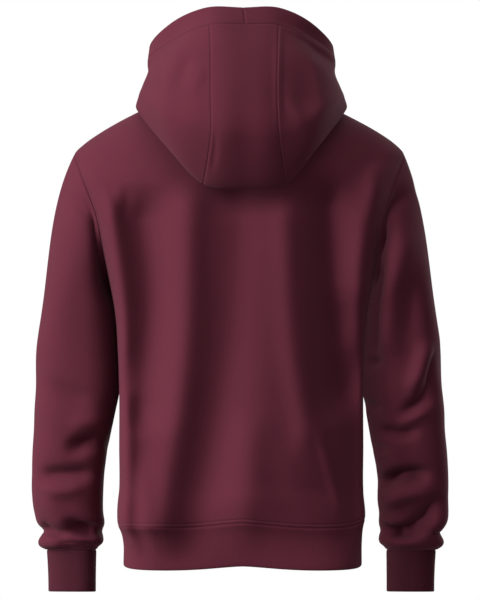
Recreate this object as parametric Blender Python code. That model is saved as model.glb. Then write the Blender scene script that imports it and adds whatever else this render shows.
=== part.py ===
"""Pullover hoodie: a filled-out garment of twelve sewn pieces, each one a thin closed wall.

Metres, +Z up. The front faces -Y and the wearer's left is +X. The origin lies on the centre
line, level with the high points of the shoulders, where a wearer carries the garment. "Drop"
is the distance below that level. Neighbouring pieces share their seam points and then step
apart by SEAM_GAP.
"""
import math

import bmesh
import bpy
import numpy as np
from mathutils import kdtree

NAME = "pullover_hoodie"

# Cloth
FLEECE = 0.0022
RIB = 0.0030
HOOD_BAND = 0.0030
SEAM_GAP = 0.0003
MITRE_LIMIT = 1.5
SAME_POINT = 0.00001
SHARP_DEGREES = 50

# Cells along the seams; pieces that meet have the same number
BACK_HALF = 11
FRONT_HALF = 7
SHOULDER_ROWS = 5
ARMHOLE_ROWS = 8
SIDE_ROWS = 8
STRIP_HALF = 4
HOOD_HALF = BACK_HALF + FRONT_HALF
HEM_ROWS = 2
CUFF_ROWS = 3
HOOD_BAND_ROWS = 2

# Body
SHOULDER_DROP = 0.088
UNDERARM_DROP = 0.280
HEM_SIDE_DROP = 0.636
HEM_CENTRE_DROP = 0.642
HEM_WAVE = 0.0085
BAND_SIDE_DROP = 0.702
BAND_CENTRE_DROP = 0.705
BAND_WAVE = 0.0070
BAND_FADE = 1.2     # how the folds of the body die out down the hem band
WAVE_POWER = 4      # how late down the body the wave of the hem sets in
WAVE_SKEW = 0.78    # below 1 moves the dips of the wave out towards the sides


def table(columns, *rows):
    """Return a table as a dictionary of its named columns."""
    return dict(zip(columns.split(), np.array(rows, dtype=float).T))


BODY = table(
    "drop   half_width  lean    back   front  square_back square_front",
    (0.000, 0.0950, 0.0000, 0.050, 0.052, 2.00, 2.00),
    (0.015, 0.1255, 0.0020, 0.061, 0.062, 2.00, 2.00),
    (0.032, 0.1605, 0.0030, 0.073, 0.072, 2.00, 2.00),
    (0.054, 0.2010, 0.0025, 0.087, 0.083, 2.05, 2.00),
    (0.076, 0.2330, 0.0025, 0.099, 0.092, 2.15, 2.03),
    (0.088, 0.2450, 0.0030, 0.105, 0.097, 2.25, 2.05),
    (0.105, 0.2465, 0.0030, 0.111, 0.104, 2.50, 2.08),
    (0.125, 0.2440, 0.0030, 0.116, 0.111, 2.90, 2.10),
    (0.155, 0.2345, 0.0025, 0.120, 0.120, 3.50, 2.15),
    (0.190, 0.2205, 0.0020, 0.122, 0.127, 4.10, 2.20),
    (0.230, 0.2080, 0.0010, 0.122, 0.133, 4.60, 2.30),
    (0.280, 0.1965, 0.0000, 0.120, 0.136, 5.00, 2.40),
    (0.324, 0.1885, 0.0000, 0.117, 0.136, 5.30, 2.40),
    (0.384, 0.1840, 0.0000, 0.113, 0.135, 5.60, 2.45),
    (0.444, 0.1820, 0.0000, 0.110, 0.133, 5.80, 2.45),
    (0.530, 0.1820, 0.0000, 0.109, 0.132, 5.80, 2.40),
    (0.594, 0.1820, 0.0000, 0.112, 0.132, 5.60, 2.40),
    (0.632, 0.1850, 0.0000, 0.117, 0.131, 5.40, 2.40),
    (0.650, 0.1835, 0.0000, 0.118, 0.129, 5.40, 2.40),
)
BODY_SIDES = {
    # side of the body: sign of Y, neck drop at the centre, steepness of the neck curve,
    # how far the armhole cuts in from the side (radians) and how much more it does near its top
    "back": {"sign": 1, "neck_drop": 0.025, "neck_power": 2, "scoop": 0.560, "scoop_skew": 0.20},
    "front": {"sign": -1, "neck_drop": 0.085, "neck_power": 6, "scoop": 0.450, "scoop_skew": 0.20},
}
ARMHOLE_STEEP = 0.40    # how steeply the armhole leaves the shoulder seam
CENTRE_AT_SHOULDER = 0.150
CENTRE_AT_UNDERARM = 0.310
ROW_POWER = 1.5

# Long soft folds: each runs down through three places, "rise" out from the cloth or into it.
# They fade over FOLD_FADE at their ends, near the side seams and over the first rows.
FOLD_FADE = 0.060
SIDE_FADE = 8
FLAT_ROWS = 3
FOLD_COLUMNS = "top_x top middle_x middle end_x end rise spread"
BACK_FOLDS = table(
    FOLD_COLUMNS,
    (-0.022, 0.200, -0.024, 0.400, -0.010, 0.600, 0.0130, 0.080),
    (0.078, 0.180, 0.086, 0.400, 0.128, 0.680, 0.0145, 0.028),
    (-0.006, 0.110, 0.019, 0.400, 0.074, 0.680, -0.0085, 0.034),
    (-0.067, 0.190, -0.078, 0.380, -0.098, 0.500, 0.0080, 0.021),
    (-0.132, 0.165, -0.138, 0.300, -0.147, 0.440, -0.0240, 0.028),
    (-0.196, 0.370, -0.200, 0.500, -0.200, 0.680, -0.0440, 0.056),
    (0.147, 0.189, 0.136, 0.300, 0.145, 0.470, -0.0230, 0.034),
    (0.196, 0.189, 0.184, 0.309, 0.184, 0.370, 0.0130, 0.020),
    (0.189, 0.450, 0.189, 0.560, 0.189, 0.680, 0.0400, 0.026),
    (-0.200, 0.150, -0.191, 0.240, -0.184, 0.335, 0.0120, 0.021),
)
FRONT_FOLDS = table(
    FOLD_COLUMNS,
    (0.095, 0.240, 0.112, 0.400, 0.140, 0.640, 0.0055, 0.028),
    (0.036, 0.230, 0.050, 0.400, 0.088, 0.640, -0.0055, 0.028),
    (-0.050, 0.220, -0.046, 0.400, -0.020, 0.640, 0.0050, 0.045),
    (-0.104, 0.190, -0.116, 0.360, -0.146, 0.610, -0.0060, 0.028),
    (0.170, 0.180, 0.158, 0.280, 0.150, 0.370, -0.0040, 0.019),
)

# Hem band
HEM_BAND = table(
    "part  half_width  lean     back    front   square_back square_front",
    (0.00, 0.1840, 0.0000, 0.1185, 0.1300, 5.20, 2.40),
    (0.20, 0.1800, -0.0010, 0.1145, 0.1250, 4.80, 2.40),
    (0.50, 0.1775, -0.0020, 0.1120, 0.1215, 4.50, 2.40),
    (1.00, 0.1775, -0.0020, 0.1115, 0.1210, 4.50, 2.40),
)

# Sleeves, below where they hang free of the armhole
SLEEVE = table(
    "drop  outer_left  outer_right  inner_left  inner_right  reach  depth",
    (0.324, 0.2985, 0.2905, 0.1905, 0.1905, -0.014, 0.072),
    (0.384, 0.3070, 0.2990, 0.1850, 0.1845, -0.026, 0.070),
    (0.444, 0.3080, 0.3010, 0.1835, 0.1830, -0.036, 0.067),
    (0.474, 0.3100, 0.3040, 0.1895, 0.1880, -0.042, 0.064),
    (0.504, 0.3110, 0.3050, 0.1960, 0.1930, -0.048, 0.061),
    (0.534, 0.3130, 0.3080, 0.2020, 0.1990, -0.054, 0.058),
    (0.564, 0.3140, 0.3100, 0.2060, 0.2045, -0.061, 0.055),
    (0.600, 0.3140, 0.3105, 0.2085, 0.2060, -0.070, 0.052),
    (0.628, 0.3105, 0.3095, 0.2085, 0.2085, -0.077, 0.049),
    (0.646, 0.3050, 0.3040, 0.2065, 0.2080, -0.081, 0.046),
    (0.6565, 0.2965, 0.2955, 0.2095, 0.2100, -0.084, 0.041),
    (0.665, 0.3015, 0.3010, 0.2080, 0.2080, -0.086, 0.044),
    (0.673, 0.3050, 0.3040, 0.2090, 0.2090, -0.088, 0.045),
    (0.680, 0.3010, 0.2995, 0.2160, 0.2165, -0.091, 0.041),
    (0.684, 0.2920, 0.2920, 0.2190, 0.2195, -0.092, 0.031),
)
SLEEVE_HEAD_ROWS = 6
SLEEVE_ROWS = (0.365, 0.405, 0.440, 0.470, 0.492, 0.512, 0.534, 0.555, 0.578, 0.605, 0.630, 0.646,
               0.6565, 0.665, 0.673, 0.680, 0.684)
SLEEVE_SQUARE = 2.6     # 2 is an ellipse, more is squarer
SLEEVE_TURN = {"left": 0.25, "right": 0.06}     # how far the back of a sleeve faces outward
SLEEVE_OUT = {"left": 0.46, "right": 0.38}
UNDERARM_OUT = -0.12
SLEEVE_SPREAD = 0.12
SLEEVE_DOWN = 0.88

# Folds across a sleeve: place down and round it (0 outside, 0.25 back, 0.5 inside), how far each
# reaches, and how much lower it lies for each turn round
SLEEVE_FOLD_COLUMNS = "drop place reach spread slant rise"
SLEEVE_FOLDS = {
    "left": table(
        SLEEVE_FOLD_COLUMNS,
        (0.480, 0.40, 0.014, 0.12, 0.00, 0.0045),
        (0.505, 0.33, 0.011, 0.14, 0.02, -0.0055),
        (0.555, 0.21, 0.012, 0.12, 0.02, -0.0050),
        (0.530, 0.22, 0.012, 0.12, 0.00, 0.0030),
        (0.500, 0.78, 0.013, 0.16, 0.02, -0.0050),
        (0.560, 0.72, 0.013, 0.12, -0.02, -0.0045),
    ),
    "right": table(
        SLEEVE_FOLD_COLUMNS,
        (0.450, 0.22, 0.014, 0.10, 0.08, -0.0050),
        (0.508, 0.28, 0.012, 0.13, 0.02, -0.0045),
        (0.532, 0.23, 0.012, 0.12, 0.02, 0.0035),
        (0.560, 0.23, 0.011, 0.13, 0.03, -0.0060),
        (0.612, 0.23, 0.013, 0.11, 0.09, -0.0045),
        (0.515, 0.74, 0.013, 0.12, -0.02, -0.0050),
        (0.570, 0.76, 0.013, 0.12, 0.02, -0.0045),
    ),
}

# Cuffs
CUFF_OUTER = 0.2895
CUFF_INNER = 0.2200
CUFF_DEPTH = 0.0285
CUFF_REACH = -0.092
CUFF_TOP = 0.684
CUFF_END = 0.746
CUFF_FORWARD = 0.008

# Hood: a row for each place up its side, from under the bag to the edge, a point for each place
# round it, from the centre of the back (0) by the side of the neck (11) to the front
HOOD_PLACES = (0, 4, 7.5, 11, 14.5, 16.5, HOOD_HALF)
HOOD_UP = {
    "under": 2,
    "fold": 4,
    "outside_low": 6,
    "outside": 8,
    "outside_high": 10,
    "band_seam": 12,
    "edge": 14,
}
HOOD = {
    "under": ((0.000, 0.108, -0.056), (0.050, 0.104, -0.053), (0.088, 0.082, -0.032),
              (0.122, 0.014, -0.005), (0.098, -0.062, -0.014), (0.084, -0.091, -0.052),
              (0.003, -0.110, -0.082)),
    "fold": ((0.000, 0.157, -0.142), (0.062, 0.149, -0.135), (0.110, 0.132, -0.082),
             (0.1555, 0.028, -0.022), (0.118, -0.076, -0.042), (0.088, -0.104, -0.064),
             (0.006, -0.119, -0.077)),
    "outside_low": ((0.000, 0.203, -0.066), (0.051, 0.198, -0.064), (0.119, 0.162, -0.035),
                    (0.1535, 0.036, -0.003), (0.120, -0.077, -0.025), (0.088, -0.106, -0.050),
                    (0.007, -0.121, -0.070)),
    "outside": ((0.000, 0.193, 0.000), (0.0495, 0.187, 0.000), (0.116, 0.152, 0.008),
                (0.147, 0.040, 0.014), (0.118, -0.075, -0.010), (0.086, -0.105, -0.038),
                (0.008, -0.121, -0.063)),
    "outside_high": ((0.000, 0.157, 0.058), (0.050, 0.152, 0.057), (0.107, 0.129, 0.053),
                     (0.1395, 0.040, 0.033), (0.115, -0.072, 0.004), (0.082, -0.102, -0.027),
                     (0.009, -0.119, -0.056)),
    "band_seam": ((0.000, 0.115, 0.103), (0.052, 0.110, 0.102), (0.096, 0.088, 0.084),
                  (0.1400, 0.034, 0.049), (0.111, -0.068, 0.016), (0.078, -0.098, -0.016),
                  (0.010, -0.116, -0.049)),
    "edge": ((0.000, 0.092, 0.128), (0.056, 0.086, 0.1275), (0.104, 0.066, 0.106),
             (0.1375, 0.014, 0.069), (0.106, -0.062, 0.038), (0.073, -0.092, 0.005),
             (0.013, -0.110, -0.028)),
}
HOOD_ROWS = (0, 1, 2, 3, 3.6, 4, 4.5, 5.2, 6, 7, 8, 9.3, 10.7, 12)
# How far the middle of the hood lies to the wearer's left, then how its back turns to the right
HOOD_LEAN = {
    "under": 0.0,
    "fold": -0.0085,
    "outside_low": -0.0080,
    "outside": -0.0055,
    "outside_high": -0.0060,
    "band_seam": -0.0060,
    "edge": -0.0030,
}
HOOD_TURN = {
    "under": 0.0,
    "fold": 0.0,
    "outside_low": 0.08,
    "outside": 0.17,
    "outside_high": 0.26,
    "band_seam": 0.30,
    "edge": 0.18,
}
HOOD_LEAN_WIDTH = 0.085

# Colours, linear
FLEECE_COLOUR = (0.120, 0.026, 0.044)
RIB_COLOUR = (0.112, 0.023, 0.040)
FLEECE_ROUGHNESS = 0.92
RIB_ROUGHNESS = 0.88


def smooth(knots, values, places):
    """Read values, given at rising knots, along a smooth curve; beyond the ends it stays level."""
    knots = np.asarray(knots, dtype=float)
    values = np.asarray(values, dtype=float)
    places = np.clip(places, knots[0], knots[-1])
    slopes = np.gradient(values, knots, axis=0)
    cell = np.clip(np.searchsorted(knots, places) - 1, 0, len(knots) - 2)
    step = knots[cell + 1] - knots[cell]
    part = (places - knots[cell]) / step
    if values.ndim > 1:
        part = part[..., None]
        step = step[..., None]
    return hermite(values[cell], slopes[cell] * step, values[cell + 1], slopes[cell + 1] * step, part)


def hermite(start, leave, end, arrive, part):
    """Return the place a part of the way along a curve with the given ends and end slopes."""
    square = part * part
    cube = square * part
    return (
        start * (2 * cube - 3 * square + 1)
        + leave * (cube - 2 * square + part)
        + end * (3 * square - 2 * cube)
        + arrive * (cube - square)
    )


def ease(part):
    """Rise smoothly from 0 to 1."""
    part = np.clip(part, 0, 1)
    return part * part * (3 - 2 * part)


def unit(vectors):
    """Scale vectors to length 1."""
    length = np.linalg.norm(vectors, axis=-1, keepdims=True)
    return vectors / np.maximum(length, 1e-12)


def section(sizes, column, places, side, angle):
    """Return X and Y on the rounded section of the body; angle is 0 at its centre line."""
    square = smooth(sizes[column], sizes[f"square_{side}"], places)
    width = smooth(sizes[column], sizes["half_width"], places)
    depth = smooth(sizes[column], sizes[side], places)
    lean = smooth(sizes[column], sizes["lean"], places)
    sine = np.sin(angle)
    cosine = np.maximum(np.cos(angle), 0)
    reach = (np.abs(sine) ** square + cosine ** square) ** (-1 / square)
    return width * sine * reach + lean, BODY_SIDES[side]["sign"] * depth * cosine * reach


def hem_wave(angle):
    """Return how far the hem dips between its centre and its sides, from 0 to 1."""
    from_centre = np.arcsin(np.minimum(np.abs(np.sin(angle)), 1)) * 2 / math.pi
    return np.sin(math.pi * from_centre ** WAVE_SKEW) ** 2


def rounded(turn):
    """Return places across and forward on a squarish round, from -1 to 1."""
    cosine, sine = np.cos(turn), np.sin(turn)
    size = (np.abs(sine) ** SLEEVE_SQUARE + np.abs(cosine) ** SLEEVE_SQUARE) ** (-1 / SLEEVE_SQUARE)
    return cosine * size, sine * size


def slopes_of(points, tube):
    """Return the steps round and down a grid of points at each of them."""
    down = np.gradient(points, axis=0)
    around = np.gradient(points, axis=1)
    if tube:
        across_weld = points[:, 1] - points[:, -2]
        around[:, 0] = across_weld / 2
        around[:, -1] = across_weld / 2
    return around, down


def body_folds(folds, x, drop):
    """Return how far the long folds lift the cloth at X and drop."""
    lift = np.zeros_like(x)
    for row in zip(*folds.values()):
        top_x, top, middle_x, middle, end_x, end, rise, spread = row
        centre = smooth((top, middle, end), (top_x, middle_x, end_x), drop)
        length = ease((drop - top) / FOLD_FADE + 1) * ease((end - drop) / FOLD_FADE + 1)
        lift += rise * length * np.exp(-(((x - centre) / spread) ** 2))
    return lift


def sleeve_folds(folds, drop, place):
    """Return how far the folds across a sleeve lift the cloth at a drop and a place round it."""
    lift = np.zeros_like(drop)
    for row in zip(*folds.values()):
        fold_drop, fold_place, reach, spread, slant, rise = row
        turn = (place - fold_place + 0.5) % 1 - 0.5
        below = drop - fold_drop - slant * turn
        lift += rise * np.exp(-((below / reach) ** 2) - (turn / spread) ** 2)
    return lift


def side_edge(side):
    """Return angle and drop down a body piece's side edge: shoulder seam, armhole, side seam."""
    sizes = BODY_SIDES[side]
    shoulder = np.linspace(0, SHOULDER_DROP, SHOULDER_ROWS + 1)
    along = np.linspace(0, 1, ARMHOLE_ROWS + 1)[1:]
    swing = math.pi * along
    armhole = (1 - np.cos(swing)) / 2 + ARMHOLE_STEEP * along * (1 - along) ** 2
    armhole = SHOULDER_DROP + (UNDERARM_DROP - SHOULDER_DROP) * armhole
    seam = np.linspace(UNDERARM_DROP, HEM_SIDE_DROP, SIDE_ROWS + 1)[1:]
    scoop = sizes["scoop"] * (1 + sizes["scoop_skew"] * np.cos(swing)) * np.sin(swing)
    right_angle = math.pi / 2
    angle = np.concatenate([np.full(len(shoulder), right_angle), right_angle - scoop,
                            np.full(len(seam), right_angle)])
    return angle, np.concatenate([shoulder, armhole, seam])


def body_panel(side, half, folds):
    """Return the grid of a body piece, from the neck to the hem seam, one side seam to the other."""
    sizes = BODY_SIDES[side]
    across = np.linspace(-1, 1, 2 * half + 1)
    edge_angle, edge_drop = side_edge(side)
    last = len(edge_drop) - 1
    rows = np.arange(last + 1)
    landmarks = (0, SHOULDER_ROWS, SHOULDER_ROWS + ARMHOLE_ROWS, last)
    centre = (sizes["neck_drop"], CENTRE_AT_SHOULDER, CENTRE_AT_UNDERARM, HEM_CENTRE_DROP)
    centre_drop = np.interp(rows, landmarks, centre)
    power = np.interp(rows, (0, SHOULDER_ROWS), (sizes["neck_power"], ROW_POWER))
    angle = edge_angle[:, None] * across
    bow = np.maximum(np.cos(across * math.pi / 2), 0) ** power[:, None]
    drop = edge_drop[:, None] + (centre_drop - edge_drop)[:, None] * bow
    lowest_rows = ((rows / last) ** WAVE_POWER)[:, None]
    drop = drop + HEM_WAVE * hem_wave(angle) * lowest_rows
    x, y = section(BODY, "drop", drop, side, angle)
    points = np.stack([x, y, -drop], axis=-1)
    around, down = slopes_of(points, tube=False)
    out = unit(np.cross(around, down)) * sizes["sign"]
    out[..., 0] = 0     # folds don't make the body wider
    window = (1 - np.abs(across) ** SIDE_FADE) * np.clip(rows / FLAT_ROWS, 0, 1)[:, None]
    return points + out * (body_folds(folds, x, drop) * window)[..., None]


def hem_band(seam, angle):
    """Return the grid of the hem band, from its seam down, once round the body."""
    part = np.linspace(0, 1, HEM_ROWS + 1)[:, None]
    side_drop = HEM_SIDE_DROP + (BAND_SIDE_DROP - HEM_SIDE_DROP) * part
    centre_drop = HEM_CENTRE_DROP + (BAND_CENTRE_DROP - HEM_CENTRE_DROP) * part
    wave = HEM_WAVE + (BAND_WAVE - HEM_WAVE) * part
    drop = side_drop + (centre_drop - side_drop) * np.abs(np.cos(angle)) ** ROW_POWER
    drop = drop + wave * hem_wave(angle)
    parts = np.broadcast_to(part, drop.shape)
    back_x, back_y = section(HEM_BAND, "part", parts, "back", angle)
    front_x, front_y = section(HEM_BAND, "part", parts, "front", math.pi - angle)
    on_back = np.abs(angle) <= math.pi / 2
    x = np.where(on_back, back_x, front_x)
    y = np.where(on_back, back_y, front_y)
    points = np.stack([x, y, -drop], axis=-1)
    return points + (seam - points[0]) * (1 - part[..., None]) ** BAND_FADE


def sleeve(seam, hand):
    """Return the grid of a sleeve, from its armhole seam to its cuff seam."""
    side = "left" if hand > 0 else "right"
    place = np.linspace(0, 1, seam.shape[0])
    turn = 2 * math.pi * place
    below = np.concatenate([[SLEEVE["drop"][0]], SLEEVE_ROWS])[:, None]
    outer = smooth(SLEEVE["drop"], SLEEVE[f"outer_{side}"], below)
    inner = smooth(SLEEVE["drop"], SLEEVE[f"inner_{side}"], below)
    reach = smooth(SLEEVE["drop"], SLEEVE["reach"], below)
    depth = smooth(SLEEVE["drop"], SLEEVE["depth"], below)
    across, forward = rounded(turn)
    half_width = (outer - inner) / 2
    x = hand * ((outer + inner) / 2 + half_width * across)
    y = reach + depth * forward - SLEEVE_TURN[side] * half_width * across
    hanging = np.stack([x, y, np.broadcast_to(-below, x.shape)], axis=-1)
    chord = np.linalg.norm(hanging[0] - seam, axis=-1, keepdims=True)
    top = (1 + np.cos(turn)) / 2
    out = hand * (UNDERARM_OUT + (SLEEVE_OUT[side] - UNDERARM_OUT) * top)
    down = np.full(len(turn), -SLEEVE_DOWN)
    leave = unit(np.stack([out, SLEEVE_SPREAD * np.sin(turn), down], axis=-1)) * chord
    arrive = unit(hanging[1] - hanging[0]) * chord
    part = np.linspace(0, 1, SLEEVE_HEAD_ROWS + 1)[:-1, None, None]
    head = hermite(seam, leave, hanging[0], arrive, part)
    points = np.concatenate([head, hanging])
    around, down = slopes_of(points, tube=True)
    outward = unit(np.cross(around, down)) * -hand
    lift = sleeve_folds(SLEEVE_FOLDS[side], -points[..., 2], place)
    return points + outward * lift[..., None]


def cuff(seam, hand):
    """Return the grid of a cuff, from its seam to its open end."""
    side = "left" if hand > 0 else "right"
    part = np.linspace(0, 1, CUFF_ROWS + 1)[:, None]
    across, forward = rounded(np.linspace(0, 2 * math.pi, seam.shape[0]))
    half_width = (CUFF_OUTER - CUFF_INNER) / 2
    x = hand * ((CUFF_OUTER + CUFF_INNER) / 2 + half_width * across)
    y = CUFF_REACH - CUFF_FORWARD * part + CUFF_DEPTH * forward - SLEEVE_TURN[side] * half_width * across
    z = -CUFF_TOP + (CUFF_TOP - CUFF_END) * part
    points = np.stack([np.broadcast_to(x, y.shape), y, np.broadcast_to(z, y.shape)], axis=-1)
    return points + (seam - points[0]) * (1 - part[..., None]) ** 2


def hood_grid(neck, rows):
    """Return hood points for rows up its side, at each place round it, right front to left."""
    places = np.arange(-HOOD_HALF, HOOD_HALF + 1)
    knots = np.concatenate([-np.array(HOOD_PLACES[:0:-1]), HOOD_PLACES])
    mirror = np.array((-1, 1, 1))
    lines = [neck]
    for name in HOOD_UP:
        half = np.array(HOOD[name])
        lines.append(smooth(knots, np.concatenate([half[:0:-1] * mirror, half]), places))
    heights = (0, *HOOD_UP.values())
    points = smooth_rows(heights, np.array(lines), np.array(rows, dtype=float))
    lean = smooth(heights, (0, *HOOD_LEAN.values()), np.array(rows, dtype=float))[:, None]
    turn = smooth(heights, (0, *HOOD_TURN.values()), np.array(rows, dtype=float))[:, None]
    near = np.exp(-((points[..., 0] / HOOD_LEAN_WIDTH) ** 2)) * (points[..., 1] > 0)
    points[..., 1] += turn * points[..., 0] * near
    points[..., 0] += lean * near
    return points


def smooth_rows(knots, lines, rows):
    """Read whole lines of points, given at rising knots, at each of the rows."""
    flat = lines.reshape(len(lines), -1)
    return smooth(knots, flat, rows).reshape(len(rows), *lines.shape[1:])


def borders(points, tube):
    """List a grid's borders, each as its row and column indices and the next ones inside it."""
    rows, columns = points.shape[:2]
    every_row = np.arange(rows)
    every_column = np.arange(columns - 1 if tube else columns)
    found = []
    for row, inside in ((0, 1), (rows - 1, rows - 2)):
        line = np.full(len(every_column), row)
        found.append((line, every_column, np.full(len(every_column), inside), every_column))
    if not tube:
        for column, inside in ((0, 1), (columns - 1, columns - 2)):
            line = np.full(rows, column)
            found.append((every_row, line, every_row, np.full(rows, inside)))
    return found


class Piece:
    """A cut piece: its outer grid, its thickness and which way its face looks."""

    def __init__(self, name, points, thickness, face, material, tube=False):
        self.name = name
        self.points = points
        self.thickness = thickness
        self.material = material
        self.tube = tube
        around, down = slopes_of(points, tube)
        self.out = unit(np.cross(around, down)) * face
        self.inward = self.out * thickness
        self.shift = np.zeros_like(points)

    def edge_points(self):
        """Return, for each border point, its indices, face direction and the way into the piece."""
        found = []
        for rows, columns, inside_rows, inside_columns in borders(self.points, self.tube):
            line = self.points[rows, columns]
            along = unit(np.gradient(line, axis=0))
            into = self.points[inside_rows, inside_columns] - line
            into = unit(into - along * np.sum(into * along, axis=-1, keepdims=True))
            for index in range(len(line)):
                found.append((self, (rows[index], columns[index]), along[index], into[index]))
        return found

    def walls(self):
        """Return the outer and the inner grid, stepped back from the seams."""
        outer = self.points + self.shift
        inner = outer - self.inward
        if self.tube:
            outer[:, -1] = outer[:, 0]
            inner[:, -1] = inner[:, 0]
        return outer, inner


def join_seams(pieces):
    """Give touching edges one shared direction through the cloth, and step them apart."""
    edges = [edge for piece in pieces for edge in piece.edge_points()]
    tree = kdtree.KDTree(len(edges))
    for index, (piece, place, _, _) in enumerate(edges):
        tree.insert(piece.points[place], index)
    tree.balance()
    for piece, place, along, into in edges:
        near = [edges[index] for _, index, _ in tree.find_range(piece.points[place], SAME_POINT)]
        others = [other for other in near if other[0] is not piece]
        if not others:
            continue
        through = shared_direction(near)
        lean = max(float(through @ piece.out[place]), 1 / MITRE_LIMIT)
        piece.inward[place] = through * piece.thickness / lean
        apart = into - sum(other[3] for other in others) / len(others)
        apart = apart - through * (apart @ through)
        apart = unit(apart - along * (apart @ along))
        piece.shift[place] += apart * SEAM_GAP / 2


def shared_direction(near):
    """Return the direction through the cloth at a seam point, halfway between its pieces."""
    faces = sum(piece.out[place] for piece, place, _, _ in near)
    into = sum(way for _, _, _, way in near)
    inside_corner = 0.0
    for piece, place, _, _ in near:
        for other, _, _, way in near:
            if other is not piece:
                inside_corner += float(piece.out[place] @ way)
    return unit(faces + into * math.copysign(1, inside_corner))


def build_wall(piece, collection):
    """Make the closed wall of one piece from a grid, extruded to its second layer."""
    outer, inner = (grid.reshape(-1, 3) for grid in piece.walls())
    rows, columns = piece.points.shape[:2]
    mesh = bmesh.new()
    number = mesh.verts.layers.int.new("number")
    bmesh.ops.create_grid(mesh, x_segments=columns - 1, y_segments=rows - 1, size=1)
    for index, vert in enumerate(mesh.verts):
        vert[number] = index
        vert.co = outer[index]
    if piece.tube:
        bmesh.ops.remove_doubles(mesh, verts=mesh.verts, dist=SAME_POINT)
    layer = bmesh.ops.extrude_face_region(mesh, geom=mesh.faces[:])
    for item in layer["geom"]:
        if isinstance(item, bmesh.types.BMVert):
            item.co = inner[item[number]]
    bmesh.ops.triangulate(mesh, faces=mesh.faces[:], quad_method="SHORT_EDGE")
    bmesh.ops.recalc_face_normals(mesh, faces=mesh.faces)
    data = bpy.data.meshes.new(piece.name)
    mesh.to_mesh(data)
    mesh.free()
    data.materials.append(piece.material)
    data.shade_smooth()
    data.set_sharp_from_angle(angle=math.radians(SHARP_DEGREES))
    collection.objects.link(bpy.data.objects.new(piece.name, data))


def cloth(name, colour, roughness):
    """Return a plain cloth material."""
    material = bpy.data.materials.new(name)
    material.use_nodes = True
    shader = material.node_tree.nodes["Principled BSDF"]
    shader.inputs["Base Color"].default_value = (*colour, 1)
    shader.inputs["Roughness"].default_value = roughness
    shader.inputs["Metallic"].default_value = 0
    return material


def make_pieces():
    """Return every cut piece of the garment."""
    back = body_panel("back", BACK_HALF, BACK_FOLDS)
    front = body_panel("front", FRONT_HALF, FRONT_FOLDS)
    pieces = [
        Piece("back", back, FLEECE, 1, cloth("back_fleece", FLEECE_COLOUR, FLEECE_ROUGHNESS)),
        Piece("front", front, FLEECE, -1, cloth("front_fleece", FLEECE_COLOUR, FLEECE_ROUGHNESS)),
    ]
    pieces += make_hem_band(back, front)
    pieces += make_sleeves(back, front)
    pieces += make_hood(back, front)
    return pieces


def make_hem_band(back, front):
    """Return the hem band, started from the two lower edges of the body."""
    seam = np.concatenate([back[-1], front[-1][-2::-1]])
    back_angle = np.linspace(-math.pi / 2, math.pi / 2, 2 * BACK_HALF + 1)
    front_angle = np.linspace(math.pi / 2, 3 * math.pi / 2, 2 * FRONT_HALF + 1)[1:]
    points = hem_band(seam, np.concatenate([back_angle, front_angle]))
    return [Piece("hem_band", points, RIB, 1, cloth("hem_rib", RIB_COLOUR, RIB_ROUGHNESS), tube=True)]


def make_sleeves(back, front):
    """Return both sleeves with their cuffs, started from the armholes."""
    pieces = []
    rows = slice(SHOULDER_ROWS, SHOULDER_ROWS + ARMHOLE_ROWS + 1)
    for side, hand, column in (("left", 1, -1), ("right", -1, 0)):
        armhole = np.concatenate([back[rows, column], front[rows, column][-2::-1]])
        sleeve_points = sleeve(armhole, hand)
        cuff_points = cuff(sleeve_points[-1], hand)
        fleece = cloth(f"sleeve_{side}_fleece", FLEECE_COLOUR, FLEECE_ROUGHNESS)
        rib = cloth(f"cuff_{side}_rib", RIB_COLOUR, RIB_ROUGHNESS)
        pieces.append(Piece(f"sleeve_{side}", sleeve_points, FLEECE, -hand, fleece, tube=True))
        pieces.append(Piece(f"cuff_{side}", cuff_points, RIB, -hand, rib, tube=True))
    return pieces


def make_hood(back, front):
    """Return the hood's side pieces, its centre strip and the two halves of its edge band."""
    left_neck = np.concatenate([back[0, BACK_HALF:], front[0, FRONT_HALF:][-2::-1]])
    right_neck = np.concatenate([front[0, FRONT_HALF:0:-1], back[0, :BACK_HALF]])
    neck = np.concatenate([right_neck, left_neck])
    cloth_part = hood_grid(neck, HOOD_ROWS)
    band_rows = np.linspace(HOOD_UP["band_seam"], HOOD_UP["edge"], HOOD_BAND_ROWS + 1)
    band_part = hood_grid(neck, band_rows)
    middle = HOOD_HALF
    right_seam = middle - STRIP_HALF
    left_seam = middle + STRIP_HALF
    cuts = (
        ("hood_right", cloth_part[:, :right_seam + 1], FLEECE),
        ("hood_centre", cloth_part[:, right_seam:left_seam + 1], FLEECE),
        ("hood_left", cloth_part[:, left_seam:], FLEECE),
        ("hood_band_right", band_part[:, :middle + 1], HOOD_BAND),
        ("hood_band_left", band_part[:, middle:], HOOD_BAND),
    )
    pieces = []
    for name, points, thickness in cuts:
        fleece = cloth(f"{name}_fleece", FLEECE_COLOUR, FLEECE_ROUGHNESS)
        pieces.append(Piece(name, points, thickness, -1, fleece))
    return pieces


def main():
    """Clear the scene and build the garment."""
    for item in list(bpy.data.objects):
        bpy.data.objects.remove(item)
    collection = bpy.data.collections.new(NAME)
    bpy.context.scene.collection.children.link(collection)
    pieces = make_pieces()
    join_seams(pieces)
    for piece in pieces:
        build_wall(piece, collection)


main()
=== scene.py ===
"""Pullover hoodie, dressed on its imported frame.

Twelve cut pieces of fleece and rib, each a thin closed shell with its folds, creases, seams and
ribs, then the rows of stitches that hold them, and a plain studio. Metres, +Z up; the front
faces -Y and the wearer's left is +X. "Drop" is the distance below the shoulders' high points.
"""
import functools
import math

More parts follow.
